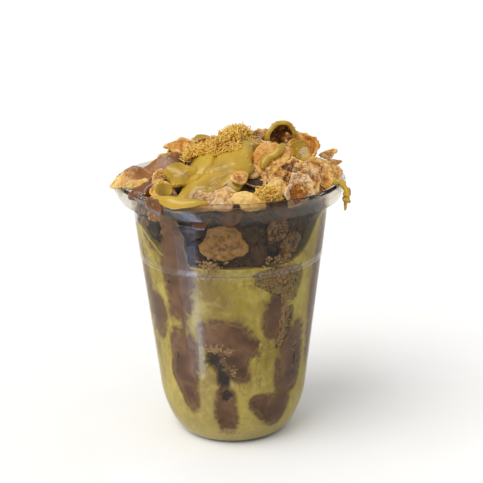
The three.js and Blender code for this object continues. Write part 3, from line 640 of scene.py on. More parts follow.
def makeWallChocolateMaterial():
    # milk chocolate sauce against plastic: satin, cocoa brown, thinning into the cream at its edge
    material, add, position = newMaterial("milkChocolateOnWall")
    cloud = add("TexNoise", {"Vector": position, "Scale": perMm(9), "Detail": 5.0, "Distortion": 0.5})
    base = add("ValToRGB", {"Fac": cloud}, stops=[(0.34, "4c321c"), (0.5, "644429"), (0.66, "7e5c3c")])
    rim = add("Attribute", attribute_name="rim").outputs["Fac"]
    ragged = add("TexNoise", {"Vector": position, "Scale": perMm(4), "Detail": 6.0, "Roughness": 0.7,
                              "Distortion": 0.8})
    spread = add("Math", {0: ragged, 1: 0.9, 2: rim}, operation="MULTIPLY_ADD")
    thin = add("MapRange", {"Value": spread, "From Min": 1.36, "From Max": 1.75})
    colour = add("Mix", {0: thin, 6: base, 7: "a39133"})
    # painted shade: where the patch crosses an air pocket it is coloured dark blue-grey
    pocket = add("Attribute", attribute_name="pocket").outputs["Fac"]
    shadedHollow = add("Mix", {0: pocket, 6: colour, 7: "3a3f46"})
    addSurface(add, {"Base Color": shadedHollow, "Roughness": 0.35})
    return material


def patchPlace(depth, ring):
    middleA = sum(p[0] for p in ring) / len(ring)
    middleZ = sum(p[1] for p in ring) / len(ring)

    def place(u, v, rho, height):
        edge = outlineAt(ring, math.atan2(v, u) / (2 * math.pi))
        azimuth = lerp(middleA, edge[0], rho)
        z = lerp(middleZ, edge[1], rho)
        azimuth += (2.6 * lump((azimuth * 0.6, z, 0), 4.5, 1)
                    + 2.2 * lump((azimuth * 0.6, z, 3), 1.6, 3)) * rho
        z += (1.6 * lump((azimuth * 0.6, z, 5), 4.5, 2)
              + 1.4 * lump((azimuth * 0.6, z, 8), 1.6, 4)) * rho
        inside = depth * math.sqrt(max(0.0, 1 - rho * rho)) + 0.1
        pocket = pocketDepth(azimuth, z)
        outside = pocket - cup["intoWall"] - 0.05
        return wallPoint(azimuth, z, outside if height >= 0 else max(inside, outside + 0.1)), \
            (rho, min(1.0, pocket / pocketFull))
    return place


wallChocolate = makeWallChocolateMaterial()
for name, (depth, ring) in chocolatePatches.items():
    bm = bendDisc(5 if "Back" in name else 6, patchPlace(depth, ring), ("rim", "pocket"))
    bmesh.ops.recalc_face_normals(bm, faces=bm.faces)
    addPiece(name + "Smear", bm, wallChocolate, [name])
print("chocolate spread on the wall")


flakeThick = 1.7
# tone runs from 0 dark to 1 pale, frost is the share of sugar, and sauce and choc are (u, v, radius) blobs
topFlakes = {
    "flakeRing": dict(at=(26.8, -32.4, 112.6), size=(7.6, 7.2), face=(12, 66, 10), curl=24, dish=4.2,
        seed=5, tone=0.66, frost=0.85, middle=-0.3, inner=0.85, rough=1.5),
    "flakeBumpyTan": dict(at=(23.5, -22, 119.0), size=(10.5, 8.5), face=(12, 50, -20), curl=-40, seed=1,
        tone=0.46, rough=1.7),
    "flakeDrizzled": dict(at=(15.5, -17, 124.5), size=(9.0, 7.0), face=(-18, 48, 35), curl=-30, seed=2,
        drizzle=[(0.86, 0.3), (0.6, 0.02), (0.3, -0.2), (0.0, -0.22), (-0.3, -0.45), (-0.5, -0.75)],
        tone=0.74, frost=0.42, orange=0.5, rough=0.9),
    "flakeBowl": dict(at=(32.2, -2, 122.2), size=(8.8, 8.2), face=(-28, 52, 0), curl=70, dish=3, seed=3,
        tone=0.5, frost=0.1, orange=0.45, inner=0.5, sauce=[(-0.32, 0.05, 4.3), (0.0, -0.3, 3.6)]),
    "flakeArch": dict(at=(20.4, 3, 132.8), size=(9.6, 4.6), face=(-153, 34, 160), curl=-185, wave=0.2,
        seed=4, tone=0.35, frost=0.0, sauce=[(0, 0, 14)], wrap=True, under=0.35),
    "flakeRingBack": dict(at=(30.4, -26.5, 115.4), size=(6.4, 6.0), face=(20, 58, 20), curl=40, dish=3,
        seed=6, tone=0.64, frost=0.7, middle=-0.2, inner=0.6, rough=1.2),
    "flakeFarLeft": dict(at=(-40.6, -10, 114.8), size=(10.0, 5.6), face=(-20, 42, 16), curl=-30,
        taper=-0.5, seed=7, tone=0.8, frost=0.55, free=True, choc=[(0.35, 0.75, 6.5), (0.95, 0.1, 4.0)]),
    "flakeTopLeft": dict(at=(-21.2, -2, 126.6), size=(6.8, 4.8), face=(-20, 36, -6), curl=-70, taper=-0.6,
        seed=8, tone=0.62, frost=0.3, orange=0.3),
    "flakeCoatedRidge": dict(at=(-26.6, -9, 119.6), size=(9.0, 5.8), face=(-12, 50, 32), curl=-50,
        thick=2.4, seed=9, tone=0.4, frost=0.0, choc=[(0, 0, 14)], sauce=[(0.3, 1.0, 2.6)]),
    "flakeCoatedGreen": dict(at=(-19.6, -22, 118.6), size=(7.2, 5.8), face=(-10, 48, 10), curl=-80,
        wave=1.5, thick=2.4, seed=10, tone=0.4, frost=0.0, sauce=[(0, 0, 12)]),
    "flakeBehindTuft": dict(at=(-11.0, 8, 125.4), size=(6.2, 5.2), face=(0, 22, 0), curl=-70, thick=2.2,
        seed=11, tone=0.4, frost=0.0, sauce=[(0, 0, 11)]),
    "flakeSmallCurl": dict(at=(-28.8, -18, 116.8), size=(3.6, 2.8), face=(0, 60, 60), curl=80, seed=12),
    "flakeArcLeft": dict(at=(-27.6, -30, 112.9), size=(6.2, 4.8), face=(48, 55, 30), curl=70, seed=13,
        tone=0.72, frost=0.2, sauce=[(0.1, -0.25, 5.2)]),
    "flakeFrontWavy": dict(at=(-5.6, -36.5, 111.6), size=(10.6, 5.4), face=(4, 52, 0), curl=80, wave=1.7,
        seed=14, tone=0.72, frost=0.75, orange=0.2),
    "flakeGoldenFront": dict(at=(8.0, -39.6, 111.8), size=(7.0, 4.2), face=(5, 62, -8), curl=-25,
        taper=0.45, seed=15, tone=1.1, frost=0.2, orange=0.1, rough=0.8),
    "flakeCurlCentre": dict(at=(3.8, -31.5, 119.4), size=(4.0, 3.0), face=(-10, 52, 25), curl=120, seed=16),
    "flakeSmallPale": dict(at=(18.4, -33.2, 115.9), size=(4.4, 3.4), face=(5, 60, 10), curl=40, seed=17,
        tone=0.85, frost=0.6),
    "flakeStick": dict(at=(41.6, 0, 121.6), size=(4.8, 2.4), face=(0, 28, 26), curl=20, taper=0.5, seed=18),
    "flakeRightPoint": dict(at=(42.2, -6, 118.4), size=(4.6, 2.8), face=(10, 50, 10), curl=30, taper=0.7,
        seed=19),
    "flakePink": dict(at=(35.6, -14, 119.2), size=(6.4, 5.2), face=(24, 46, -10), curl=-40, seed=20,
        frost=0.6, orange=0.2),
    "flakeSmallRing": dict(at=(36.8, -23, 114.8), size=(4.2, 3.8), face=(30, 60, 0), curl=40, dish=2,
        seed=21),
    "flakeAtLip": dict(at=(43.0, -13, 115.4), size=(4.4, 3.2), face=(40, 55, 40), curl=90, seed=22),
    "flakeBackLeft": dict(at=(-24, 20, 119.0), size=(9.5, 7.0), face=(215, 40, 20), curl=-50, seed=23),
    "flakeBackRight": dict(at=(27, 22, 121.0), size=(10.0, 7.5), face=(140, 40, -15), curl=60, dish=2,
        seed=24),
    "flakeBackMiddle": dict(at=(2, 29, 119.5), size=(9.5, 7.5), face=(182, 45, 10), curl=-60, seed=25),
}

# azimuth, height and depth from the wall of each flake that shows through it
wallFlakes = {
    "flakeWallFrosted": dict(wall=(-4.5, 94.2, 1.6), spin=-12, lean=4, size=(9.4, 7.0), curl=-18, seed=31,
        tone=0.98, rough=1.4),
    "flakeWallDome": dict(wall=(17, 86.2, 2.2), spin=8, size=(7.4, 6.2), curl=-60, dish=-2, seed=32,
        tone=0.42, frost=0.0, smooth=0.8),
    "flakeWallOlive": dict(wall=(12.5, 97.6, 3.4), spin=5, lean=10, size=(5.6, 3.6), curl=-20, seed=33,
        tone=0.3, frost=0.0, smooth=0.8),
    "flakeWallGrey": dict(wall=(30, 98.8, 2.0), spin=60, size=(5.8, 4.6), curl=-40, seed=34, tone=0.45,
        frost=0.8),
    "flakeWallGreyLow": dict(wall=(41, 92.0, 2.0), spin=20, size=(5.2, 4.2), curl=-40, seed=35, tone=0.5,
        frost=0.7),
    "flakeWallTan": dict(wall=(37, 84.4, 2.4), spin=30, lean=8, size=(6.0, 4.4), curl=40, seed=36,
        tone=0.62),
    "flakeWallCurved": dict(wall=(-44, 92.6, 2.4), spin=65, lean=-20, size=(6.4, 4.2), curl=70, seed=37,
        tone=0.5, frost=0.2),
    "flakeWallDark": dict(wall=(-58, 97.6, 2.4), spin=-35, size=(6.6, 3.6), curl=20, seed=38, tone=0.15,
        frost=0.1),
}


def flakeFrame(spec):
    azimuth, tilt, spin = (math.radians(a) for a in spec["face"])
    normal = Vector((math.sin(tilt) * math.sin(azimuth), -math.sin(tilt) * math.cos(azimuth),
                     math.cos(tilt)))
    right = Vector((math.cos(azimuth), math.sin(azimuth), 0))
    upward = normal.cross(right)
    long = right * math.cos(spin) + upward * math.sin(spin)
    turn = Matrix((long, normal.cross(long), normal)).transposed().to_4x4()
    return Matrix.Translation(spec["at"]) @ turn


def flakePoint(spec, u, v, rho, lift):
    halfLong, halfShort = spec["size"]
    angle = math.atan2(v, u)
    seed = spec["seed"]
    uneven = (1 + 0.08 * math.sin(2 * angle + seed) + 0.07 * math.sin(3 * angle + 2.1 * seed)
              + 0.05 * math.sin(5 * angle + 3.7 * seed))
    uneven += 0.09 * rho * noise.noise(Vector((4 * math.cos(angle), 4 * math.sin(angle), seed * 2.0)))
    wave = spec.get("wave", 0.6) * rho * rho * math.sin(3 * angle + 1.3 * seed)
    height = spec.get("dish", 0) * smoothShare(rho, 0.25, 1.0) + wave + lift
    roll = math.radians(spec.get("curl") or 1) / (2 * halfLong)
    radius = 1 / roll - height
    along = halfLong * uneven * u * roll
    taper = spec.get("taper", 0.0)            # above 0 it narrows toward +u, below 0 toward -u
    narrow = 1 - max(0.0, taper * u)
    return Vector((radius * math.sin(along), halfShort * uneven * v * narrow,
                   1 / roll - radius * math.cos(along)))


def coatShare(spec, blobs, u, v, point):
    cover = 0.0
    for bu, bv, radius in blobs:
        away = math.hypot((u - bu) * spec["size"][0], (v - bv) * spec["size"][1])
        ragged = 0.9 * lump(point, 2.6, spec["seed"])
        cover = max(cover, smoothShare(radius - away + ragged, -0.35, 0.7))
    return cover


def flakePlace(spec):
    turn = flakeFrame(spec)
    half = spec.get("thick", flakeThick) / 2
    roundShare = min(0.4, 0.8 * half / spec["size"][1])
    seed = spec["seed"]
    rough = spec.get("rough", 1.0) * (1 - spec.get("smooth", 0.0))

    def place(u, v, rho, height):
        rim = clamp((rho - (1 - roundShare)) / roundShare, 0.0, 1.0)
        flat = flakePoint(spec, u, v, rho, 0.0)
        side = 1 if height >= 0 else -1
        above = flat + Vector((0, 0, 9 * side))
        sauce = coatShare(spec, spec.get("sauce", ()), u, v, flat) if side > 0 else 0.0
        if spec.get("wrap"):
            sauce = max(sauce, smoothShare(rho, 0.78, 0.9))
        choc = coatShare(spec, spec.get("choc", ()), u, v, flat) if side > 0 else 0.0
        coat = max(sauce, choc)
        grain = spec.get("frost", 0.5) * blister(above, 1.15, seed + 3)
        relief = (0.55 * blister(above, 3.2, seed) + 0.34 * lump(above, 1.6, seed)
                  + 0.24 * lump(above, 0.75, seed) + 0.36 * grain - 0.2) * rough
        bare = 1 - 0.85 * coat
        belly = half * (1 - 0.35 * rho * rho) * math.sqrt(max(0.0, 1 - rim * rim))
        puff = 0.6 * lump(flat, 5.0, seed + 2)
        lift = side * (belly + (relief * bare + 0.4 * coat) * math.sqrt(1 - 0.8 * rim * rim)) + puff * rho
        local = flakePoint(spec, u, v, rho, lift)
        middle = 1 - smoothShare(rho, 0.45, 0.8)
        # painted shade: the tone rises on the blisters and falls between them, and the underside is made
        # darker
        tone = (spec.get("tone", 0.6) + 0.22 * rho ** 3 + spec.get("middle", 0.0) * middle
                + 0.75 * relief * bare - (spec.get("under", 0.25) if side < 0 else 0.0))
        orange = clamp(spec.get("orange", 0.0) * (1.2 - rho) + 0.35 * lump(flat, 5.0, seed + 4), 0, 1)
        inner = spec.get("inner", 0.0) * (1 - smoothShare(rho, 0.32, 0.68))
        orange = max(orange, inner)
        frost = spec.get("frost", 0.5) * (1 - inner) + 0.5 * grain - 0.1
        point = turn @ local
        return point if spec.get("free") else keepInside(point), (tone, frost, sauce, choc, orange)
    return place


flakeAttributes = ("tone", "frost", "sauce", "choc", "orange")


def makeFlakeMaterial(name, toasts, sugar, orangeCode, sauceStops, chocStops, bumpSize):
    # toasted corn flake, puffed in the oven and dusted with sugar: matt and grainy, glossy where coated
    material, add, position = newMaterial(name)
    # the tone attribute holds painted shade as well as the flake's own tone
    tone, frost, sauce, choc, orange = (
        add("Attribute", attribute_name=key).outputs["Fac"] for key in flakeAttributes)
    toast = add("TexNoise", {"Vector": position, "Scale": perMm(3.2), "Detail": 6.0, "Roughness": 0.65})
    spread = add("Math", {0: toast, 1: 1.1, 2: tone}, operation="MULTIPLY_ADD")
    level = add("Math", {0: spread, 1: 0.55}, operation="SUBTRACT")
    base = add("ValToRGB", {"Fac": level}, stops=toasts)
    glazed = add("Mix", {0: orange, 6: base, 7: orangeCode})
    grain = add("TexNoise", {"Vector": position, "Scale": perMm(0.9), "Detail": 4.0, "Roughness": 0.75})
    clumps = add("TexNoise", {"Vector": position, "Scale": perMm(4.5), "Detail": 3.0})
    dust = add("Math", {0: clumps, 1: 0.6, 2: grain}, operation="MULTIPLY_ADD")
    dusted = add("Math", {0: frost, 1: 0.42, 2: dust}, operation="MULTIPLY_ADD")
    cover = add("MapRange", {"Value": dusted, "From Min": 1.0, "From Max": 1.25, "To Max": 0.8})
    sugared = add("Mix", {0: cover, 6: glazed, 7: sugar})
    sauceNoise = add("TexNoise", {"Vector": position, "Scale": perMm(6), "Detail": 2.0})
    sauceColour = add("ValToRGB", {"Fac": sauceNoise}, stops=sauceStops)
    chocColour = add("ValToRGB", {"Fac": sauceNoise}, stops=chocStops)
    chocShare = add("MapRange", {"Value": choc, "From Min": 0.25, "From Max": 0.6})
    sauceShare = add("MapRange", {"Value": sauce, "From Min": 0.25, "From Max": 0.6})
    first = add("Mix", {0: chocShare, 6: sugared, 7: chocColour})
    colour = add("Mix", {0: sauceShare, 6: first, 7: sauceColour})
    coat = add("Math", {0: chocShare, 1: sauceShare}, operation="MAXIMUM")
    roughness = add("MapRange", {"Value": coat, "To Min": 0.62, "To Max": 0.2})
    height = add("Math", {0: grain, 1: cover}, operation="ADD")
    bare = add("Math", {0: 1.0, 1: coat}, operation="SUBTRACT")
    relief = add("Math", {0: height, 1: bare}, operation="MULTIPLY")
    bump = add("Bump", {"Height": relief, "Strength": 0.7, "Distance": bumpSize * mm})
    addSurface(add, {"Base Color": colour, "Roughness": roughness, "Normal": bump,
                     "Subsurface Weight": 0.12, "Subsurface Radius": (0.6, 0.35, 0.12),
                     "Subsurface Scale": 1.0 * mm})
    return material


sauceStops = [(0.3, "9a7718"), (0.5, "b28e22"), (0.72, "c5a230")]
chocStops = [(0.3, "774819"), (0.5, "925b22"), (0.72, "ab732f")]
toastedFlake = makeFlakeMaterial(
    "frostedCornFlake",
    [(0.0, "4f2a08"), (0.28, "8a5518"), (0.52, "c1842e"), (0.76, "e2ac50"), (1.0, "efcb7c")],
    "ecd2b4", "b9741f", sauceStops, chocStops, 0.3)
# the flakes behind the wall take darker colours, partly as flakes damp from the cream and partly as painted
# shade, for the wall's contents get less light than the top
dampShadedFlake = makeFlakeMaterial(
    "dampShadedFlakeBehindWall",
    [(0.0, "0f0904"), (0.28, "33210d"), (0.52, "664a1e"), (0.76, "9a7431"), (1.0, "bd9450")],
    "b59a74", "7c4f14", [(0.3, "5c4a1c"), (0.7, "7a6528")], [(0.3, "301c0e"), (0.7, "452a17")], 0.25)


def bakeFlake(detail, spec):
    return bendDisc(detail, flakePlace(spec), flakeAttributes)


for name, spec in topFlakes.items():
    detail = 6 if spec["size"][0] > 4.5 and "Back" not in name else 5
    addPiece(name + "Baked", bakeFlake(detail, spec), toastedFlake, [name])
# the speckled hollow under the arch: a dark flake closes it, its dark tone painted shade
shadedHollow = dict(at=(20.0, 5, 129.6), size=(4.3, 3.6), face=(-4, 72, 10), curl=40, seed=41,
              tone=0.16, frost=0.15)
addPiece("archHollow", bakeFlake(5, shadedHollow), toastedFlake, ["flakeArch"])
for name, spec in wallFlakes.items():
    azimuth, z, inward = spec["wall"]
    face = (azimuth, 90 - spec.get("lean", 0), spec["spin"])
    placed = dict(spec, at=wallPoint(azimuth, z, inward + 0.48), face=face)
    addPiece(name + "Baked", bakeFlake(6, placed), dampShadedFlake, [name])
print("flakes baked")


heap = {"crownX": 4, "crownY": 4, "spread": 45, "baseZ": 108, "rise": 19.5, "lean": 0.07,
        "coreDepth": 2.6, "coreR": 38, "coreTaper": 4, "coreRimZ": 100, "coreFootZ": 74}


def heapHeight(x, y):
    reach = ((x - heap["crownX"]) ** 2 + (y - heap["crownY"]) ** 2) / heap["spread"] ** 2
    return heap["baseZ"] + (heap["rise"] + heap["lean"] * x) * max(0.0, 1 - reach)


def corePlace(u, v, rho, height):
    wide = heap["coreR"] - (heap["coreTaper"] * rho if height < 0 else 0)
    x, y = wide * u, wide * v
    if height > 0:
        edge = smoothShare(rho, 0.9, 1.0)
        z = lerp(heapHeight(x, y) - heap["coreDepth"] - 2 * rho ** 6, heap["coreRimZ"], edge)
    else:
        z = lerp(heap["coreFootZ"], heap["coreRimZ"], smoothShare(rho, 0.85, 1.0))
    point = Vector((x, y, z))
    out = Vector((x, y, 0)).normalized() if rho > 0.01 else Vector((0, 0, 1))
    crumble = 1.3 * lump(point, 5.0, 1) + 0.7 * lump(point, 2.0, 2) + 0.4 * lump(point, 0.9, 3)
    point += (out * smoothShare(rho, 0.7, 1.0) + Vector((0, 0, 1)) * (1 - rho)) * crumble
    # painted shade: the core is dark, lighter near its top, for the shade in the gaps under the loose
    # flakes
    tone = 0.05 + 0.3 * smoothShare(point.z, 104, 112) + 0.3 * lump(point, 7, 5)
    return keepInside(point), (tone, 0.2, 0.0, 0.0, 0.0)


addPiece("heapCore", bendDisc(6, corePlace, flakeAttributes), dampShadedFlake, ["flakeHeap"])


# many small copies of a few shapes, joined in one mesh
def joinCopies(name, shapes, places, material, nodes, gap=cup["clear"]):
    points, faces, values = [], [], {}
    count = 0
    for index, turn, extra in places:
        co, corners, attributes = shapes[index]
        matrix = np.array(turn)
        points.append(keepInside((co @ matrix[:3, :3].T + matrix[:3, 3]) / mm, gap) * mm)
        faces += [tuple(c + count for c in face) for face in corners]
        for key, value in {**attributes, **extra}.items():
            values.setdefault(key, []).append(np.broadcast_to(np.asarray(value, float), (len(co),)))
        count += len(co)
    mesh = bpy.data.meshes.new(name)
    mesh.from_pydata(np.concatenate(points).tolist(), [], faces)
    for key, rows in values.items():
        layer = mesh.attributes.new(key, "FLOAT", "POINT")
        layer.data.foreach_set("value", np.concatenate(rows).astype(np.float32))
    addMesh(name, mesh, material, nodes)


def shapeOf(bm, attributes=()):
    bm.verts.index_update()
    co = np.array([v.co for v in bm.verts])
    values = {}
    for key in attributes:
        layer = bm.verts.layers.float[key]
        values[key] = np.array([v[layer] for v in bm.verts])
    shape = (co, [tuple(v.index for v in f.verts) for f in bm.faces], values)
    bm.free()
    return shape


def flakeShape(**spec):
    spec.update(at=(0, 0, 0), face=(0, 0, 0))
    return shapeOf(bakeFlake(4, spec), flakeAttributes)


# flakes in general: a few forms made once and laid all over, most of them half sunk
draw = random.Random(11)
looseShapes = [
    flakeShape(size=(5.5 + 2.5 * draw.random(), 4.2 + 2.0 * draw.random()),
               curl=draw.choice((-80, -50, 45, 75, 100)), dish=draw.choice((0, 0, 1.5, 2.5)), seed=60 + k,
               tone=0.45 + 0.3 * draw.random(),
               frost=0.3 + 0.5 * draw.random(), orange=0.3 * draw.random())
    for k in range(9)]


def lieOn(x, y, z, azimuth, tilt, spin, size=1.0):
    spec = dict(at=(x * mm, y * mm, z * mm), face=(azimuth, tilt, spin))
    return flakeFrame(spec) @ Matrix.Scale(size, 4)


# those close to a named flake lie deeper than the others
looseHeap = {"count": 146, "sink": 2.6, "reach": 38.5, "close": 8.5, "deeper": 3.5}
places = []
for k in range(looseHeap["count"]):
    r = looseHeap["reach"] * math.sqrt((k + 0.5) / looseHeap["count"])
    azimuth = k * 137.508
    x = r * math.sin(math.radians(azimuth))
    y = -r * math.cos(math.radians(azimuth))
    crowded = any(math.hypot(x - f["at"][0], y - f["at"][1]) < looseHeap["close"]
                  for f in topFlakes.values())
    sink = looseHeap["sink"] + looseHeap["deeper"] * crowded if y < 8 else draw.choice((0.4, 1.2, 2.2))
    z = heapHeight(x, y) - sink
    turn = lieOn(x, y, z, azimuth + draw.uniform(-35, 35), 8 + 0.9 * r + draw.uniform(-8, 12),
                 draw.uniform(0, 360), draw.uniform(0.62, 1.05))
    # painted shade: those at the front, near the lip, are made darker
    places.append((k % len(looseShapes), turn, {"tone": 0.22, "frost": 0.2} if y < -27 else {}))
joinCopies("looseFlakes", looseShapes, places, toastedFlake, ["flakeHeap"])

# the flakes that lie against the wall between the named ones and round the back
dampShapes = [
    flakeShape(size=(5.0 + 2.5 * draw.random(), 4.0 + 1.8 * draw.random()),
               curl=draw.choice((-60, -40, 45, 75)), seed=80 + k, tone=0.2 + 0.5 * draw.random(),
               frost=0.2 + 0.6 * draw.random(), smooth=0.5 * draw.random())
    for k in range(6)]
inWall = {"count": 150, "low": 86, "high": 109}
places = []
for k in range(inWall["count"]):
    azimuth = 360 * (k * 0.618 % 1)
    z = inWall["low"] + (inWall["high"] - inWall["low"]) * ((k * 0.7549) % 1)
    front = abs((azimuth + 180) % 360 - 180) < 66
    x, y, z = wallPoint(azimuth, z, draw.uniform(5.2, 6.4) if front else draw.uniform(1.8, 4.2))
    turn = lieOn(x, y, z, azimuth, draw.uniform(66, 100), draw.uniform(0, 360), draw.uniform(0.65, 0.95))
    # painted shade: those at the front are made darker, for the shade in the gap behind the wall
    frontShade = {"tone": draw.uniform(0.15, 0.5), "frost": 0.3} if front else {}
    places.append((k % len(dampShapes), turn, frontShade))
joinCopies("looseFlakesInWall", dampShapes, places, dampShadedFlake, ["flakeHeap"])
print("heap filled")


kataifi = {
    "kataifiCrown": dict(at=(2.6, -2.5, 129.0), size=(7.0, 5.2, 5.8), lean=(0.15, 0.1), count=1000),
    "kataifiLeft": dict(at=(-8.4, -7.5, 124.4), size=(8.2, 4.6, 3.8), lean=(0, 0), count=900),
    "kataifiFront": dict(at=(14.6, -37.0, 113.4), size=(5.2, 2.6, 2.8), lean=(0, 0), count=420),
    "kataifiBack": dict(at=(-8, 22, 120.5), size=(7.0, 5.0, 3.4), lean=(0, 0), count=460),
}


def makeKataifiMaterial(name, stops):
    # fine dough threads baked in butter: dry, golden, darker where they were toasted
    material, add, position = newMaterial(name)
    # the tone holds painted shade: low deep in a tuft and behind the wall
    tone = add("Attribute", attribute_name="tone").outputs["Fac"]
    toast = add("TexNoise", {"Vector": position, "Scale": perMm(1.6), "Detail": 3.0})
    level = add("Math", {0: toast, 1: 0.5, 2: tone}, operation="MULTIPLY_ADD")
    colour = add("ValToRGB", {"Fac": level}, stops=stops)
    bump = add("Bump", {"Height": toast, "Strength": 0.4, "Distance": 0.12 * mm})
    addSurface(add, {"Base Color": colour, "Roughness": 0.5, "Normal": bump, "Subsurface Weight": 0.15,
                     "Subsurface Radius": (0.6, 0.4, 0.1), "Subsurface Scale": 0.8 * mm})
    return material


bakedKataifi = makeKataifiMaterial(
    "bakedKataifi", [(0.2, "7a4a10"), (0.45, "b98226"), (0.7, "deac40"), (1.0, "f2d070")])
# the kataifi in the cream takes darker colours too, partly damp and partly painted shade
dampShadedKataifi = makeKataifiMaterial(
    "kataifiInCreamShaded", [(0.2, "2c200f"), (0.45, "6b572d"), (0.7, "a18e4e"), (1.0, "cbba7c")])


def shredShape(length, radius, bend):
    bm = bmesh.new()
    bmesh.ops.create_cone(bm, cap_ends=True, segments=5, radius1=radius, radius2=radius * 0.8, depth=length)
    upright = [e for e in bm.edges if abs(e.verts[0].co.z - e.verts[1].co.z) > 0.5 * length]
    bmesh.ops.subdivide_edges(bm, edges=upright, cuts=3, use_grid_fill=True)
    for vert in bm.verts:
        share = vert.co.z / length
        vert.co.x += bend * length * (0.25 - share * share)
        vert.co.y += 0.08 * length * math.sin(5 * share + bend * 9)
        vert.co *= mm
    return shapeOf(bm)


draw = random.Random(23)
shreds = [shredShape(draw.uniform(2.8, 4.8), draw.uniform(0.22, 0.32), draw.uniform(-0.9, 0.9))
          for _ in range(10)]


def pointAlong(direction, place, spin, size=1.0):
    turn = direction.to_track_quat("Z", "Y").to_matrix().to_4x4()
    spun = turn @ Matrix.Rotation(spin, 4, "Z")
    return Matrix.Translation(Vector(place) * mm) @ spun @ Matrix.Scale(size, 4)


# one of the shapes, laid along a direction
def layShape(shapes, direction, place, low, high):
    which = draw.randrange(len(shapes))
    return which, pointAlong(direction, place, draw.uniform(0, 6.3), draw.uniform(low, high))


# a place in a tuft, out from its middle
def tuftPoint(spec, out, share):
    z = out.z * spec["size"][2] * share
    return Vector((spec["at"][0] + out.x * spec["size"][0] * share + spec["lean"][0] * z,
                   spec["at"][1] + out.y * spec["size"][1] * share + spec["lean"][1] * z,
                   spec["at"][2] + z))


def kataifiPlaces(spec):
    places = []
    for k in range(spec["count"]):
        up = 1 - 1.55 * (k + 0.5) / spec["count"]
        turn = k * 2.39996
        flat = math.sqrt(max(0.0, 1 - up * up))
        out = Vector((flat * math.cos(turn), flat * math.sin(turn), up))
        deep = draw.uniform(0.66, 1.0)
        stray = Vector((draw.gauss(0, 1), draw.gauss(0, 1), draw.gauss(0, 1))).normalized()
        direction = (out * draw.uniform(-0.1, 0.9) + stray * 0.8).normalized()
        place = tuftPoint(spec, out, deep)
        # painted shade: shreds deep in the tuft are darker
        tone = 0.15 + 0.55 * smoothShare(deep, 0.6, 1.0) + draw.uniform(-0.15, 0.15)
        places.append((*layShape(shreds, direction, place, 0.7, 1.1), {"tone": tone}))
    return places


coreShare = 0.82                      # of the tuft's size


def kataifiCore(spec, seed):
    def place(u, v, rho, height):
        flat = math.sin(rho * math.pi / 2) / max(rho, 1e-6)
        out = Vector((u * flat, v * flat, math.cos(rho * math.pi / 2) * (1 if height >= 0 else -1)))
        point = tuftPoint(spec, out, coreShare)
        point += out * (0.6 * lump(point, 2.0, seed) + 0.4 * lump(point, 0.9, seed))
        # the core is dark, as painted shade between the shreds
        return point, (0.1,)
    return bendDisc(5, place, ("tone",))


for number, (name, spec) in enumerate(kataifi.items()):
    addPiece(name + "Core", kataifiCore(spec, number), bakedKataifi, [name])
    joinCopies(name + "Shreds", shreds, kataifiPlaces(spec), bakedKataifi, [name])


# shreds pressed on the wall, lying in a thin bed of cream
def wallShreds(ring, count, low, high):
    places = []
    azimuths = [p[0] for p in ring]
    heights = [p[1] for p in ring]
    while len(places) < count:
        azimuth = draw.uniform(min(azimuths), max(azimuths))
        z = draw.uniform(min(heights), max(heights))
        if patchDepth(ring, azimuth, z) < 0.1:
            continue
        inward = draw.uniform(low, high)
        tangent = Vector((math.cos(math.radians(azimuth)), math.sin(math.radians(azimuth)), 0))
        tilt = draw.uniform(0, math.pi)
        direction = tangent * math.cos(tilt) + Vector((0, 0, 1)) * math.sin(tilt)
        # painted shade: shreds lying deeper behind the wall are darker
        tone = clamp(1.15 - 0.38 * inward + draw.uniform(-0.15, 0.1), 0, 1)
        places.append((*layShape(shreds, direction, wallPoint(azimuth, z, inward), 0.7, 1.05),
                       {"tone": tone}))
    return places


for name, count in (("kataifiWall", 560), ("kataifiVein", 130)):
    joinCopies(name + "Shreds", shreds, wallShreds(wallKataifi[name], count, 0.45, 2.0), dampShadedKataifi,
               [name])
print("kataifi shredded")


def makeSauceMaterial(name, stops, roughness, subsurface, coat):
    # thick poured sauce: one smooth glossy skin
    material, add, position = newMaterial(name)
    cloud = add("TexNoise", {"Vector": position, "Scale": perMm(14), "Detail": 4.0, "Distortion": 0.4})
    colour = add("ValToRGB", {"Fac": cloud}, stops=stops)
    ripples = add("TexNoise", {"Vector": position, "Scale": perMm(3.5), "Detail": 2.0})
    bump = add("Bump", {"Height": ripples, "Strength": 0.25, "Distance": 0.3 * mm})
    addSurface(add, {"Base Color": colour, "Roughness": roughness, "IOR": 1.46, "Normal": bump,
                     "Coat Weight": coat, "Coat Roughness": 0.08, "Subsurface Weight": subsurface,
                     "Subsurface Radius": (1.0, 0.75, 0.2), "Subsurface Scale": 1.2 * mm})
    return material


sauceOf = {
    "pistachio": makeSauceMaterial(
        "pistachioSauce", [(0.3, "9f7a14"), (0.5, "b8931f"), (0.7, "cca92f")], 0.3, 0.1, 0.2),
    "chocolate": makeSauceMaterial(
        "milkChocolateSauce", [(0.3, "5c3411"), (0.5, "734417"), (0.7, "895621")], 0.26, 0.04, 0.15),
}

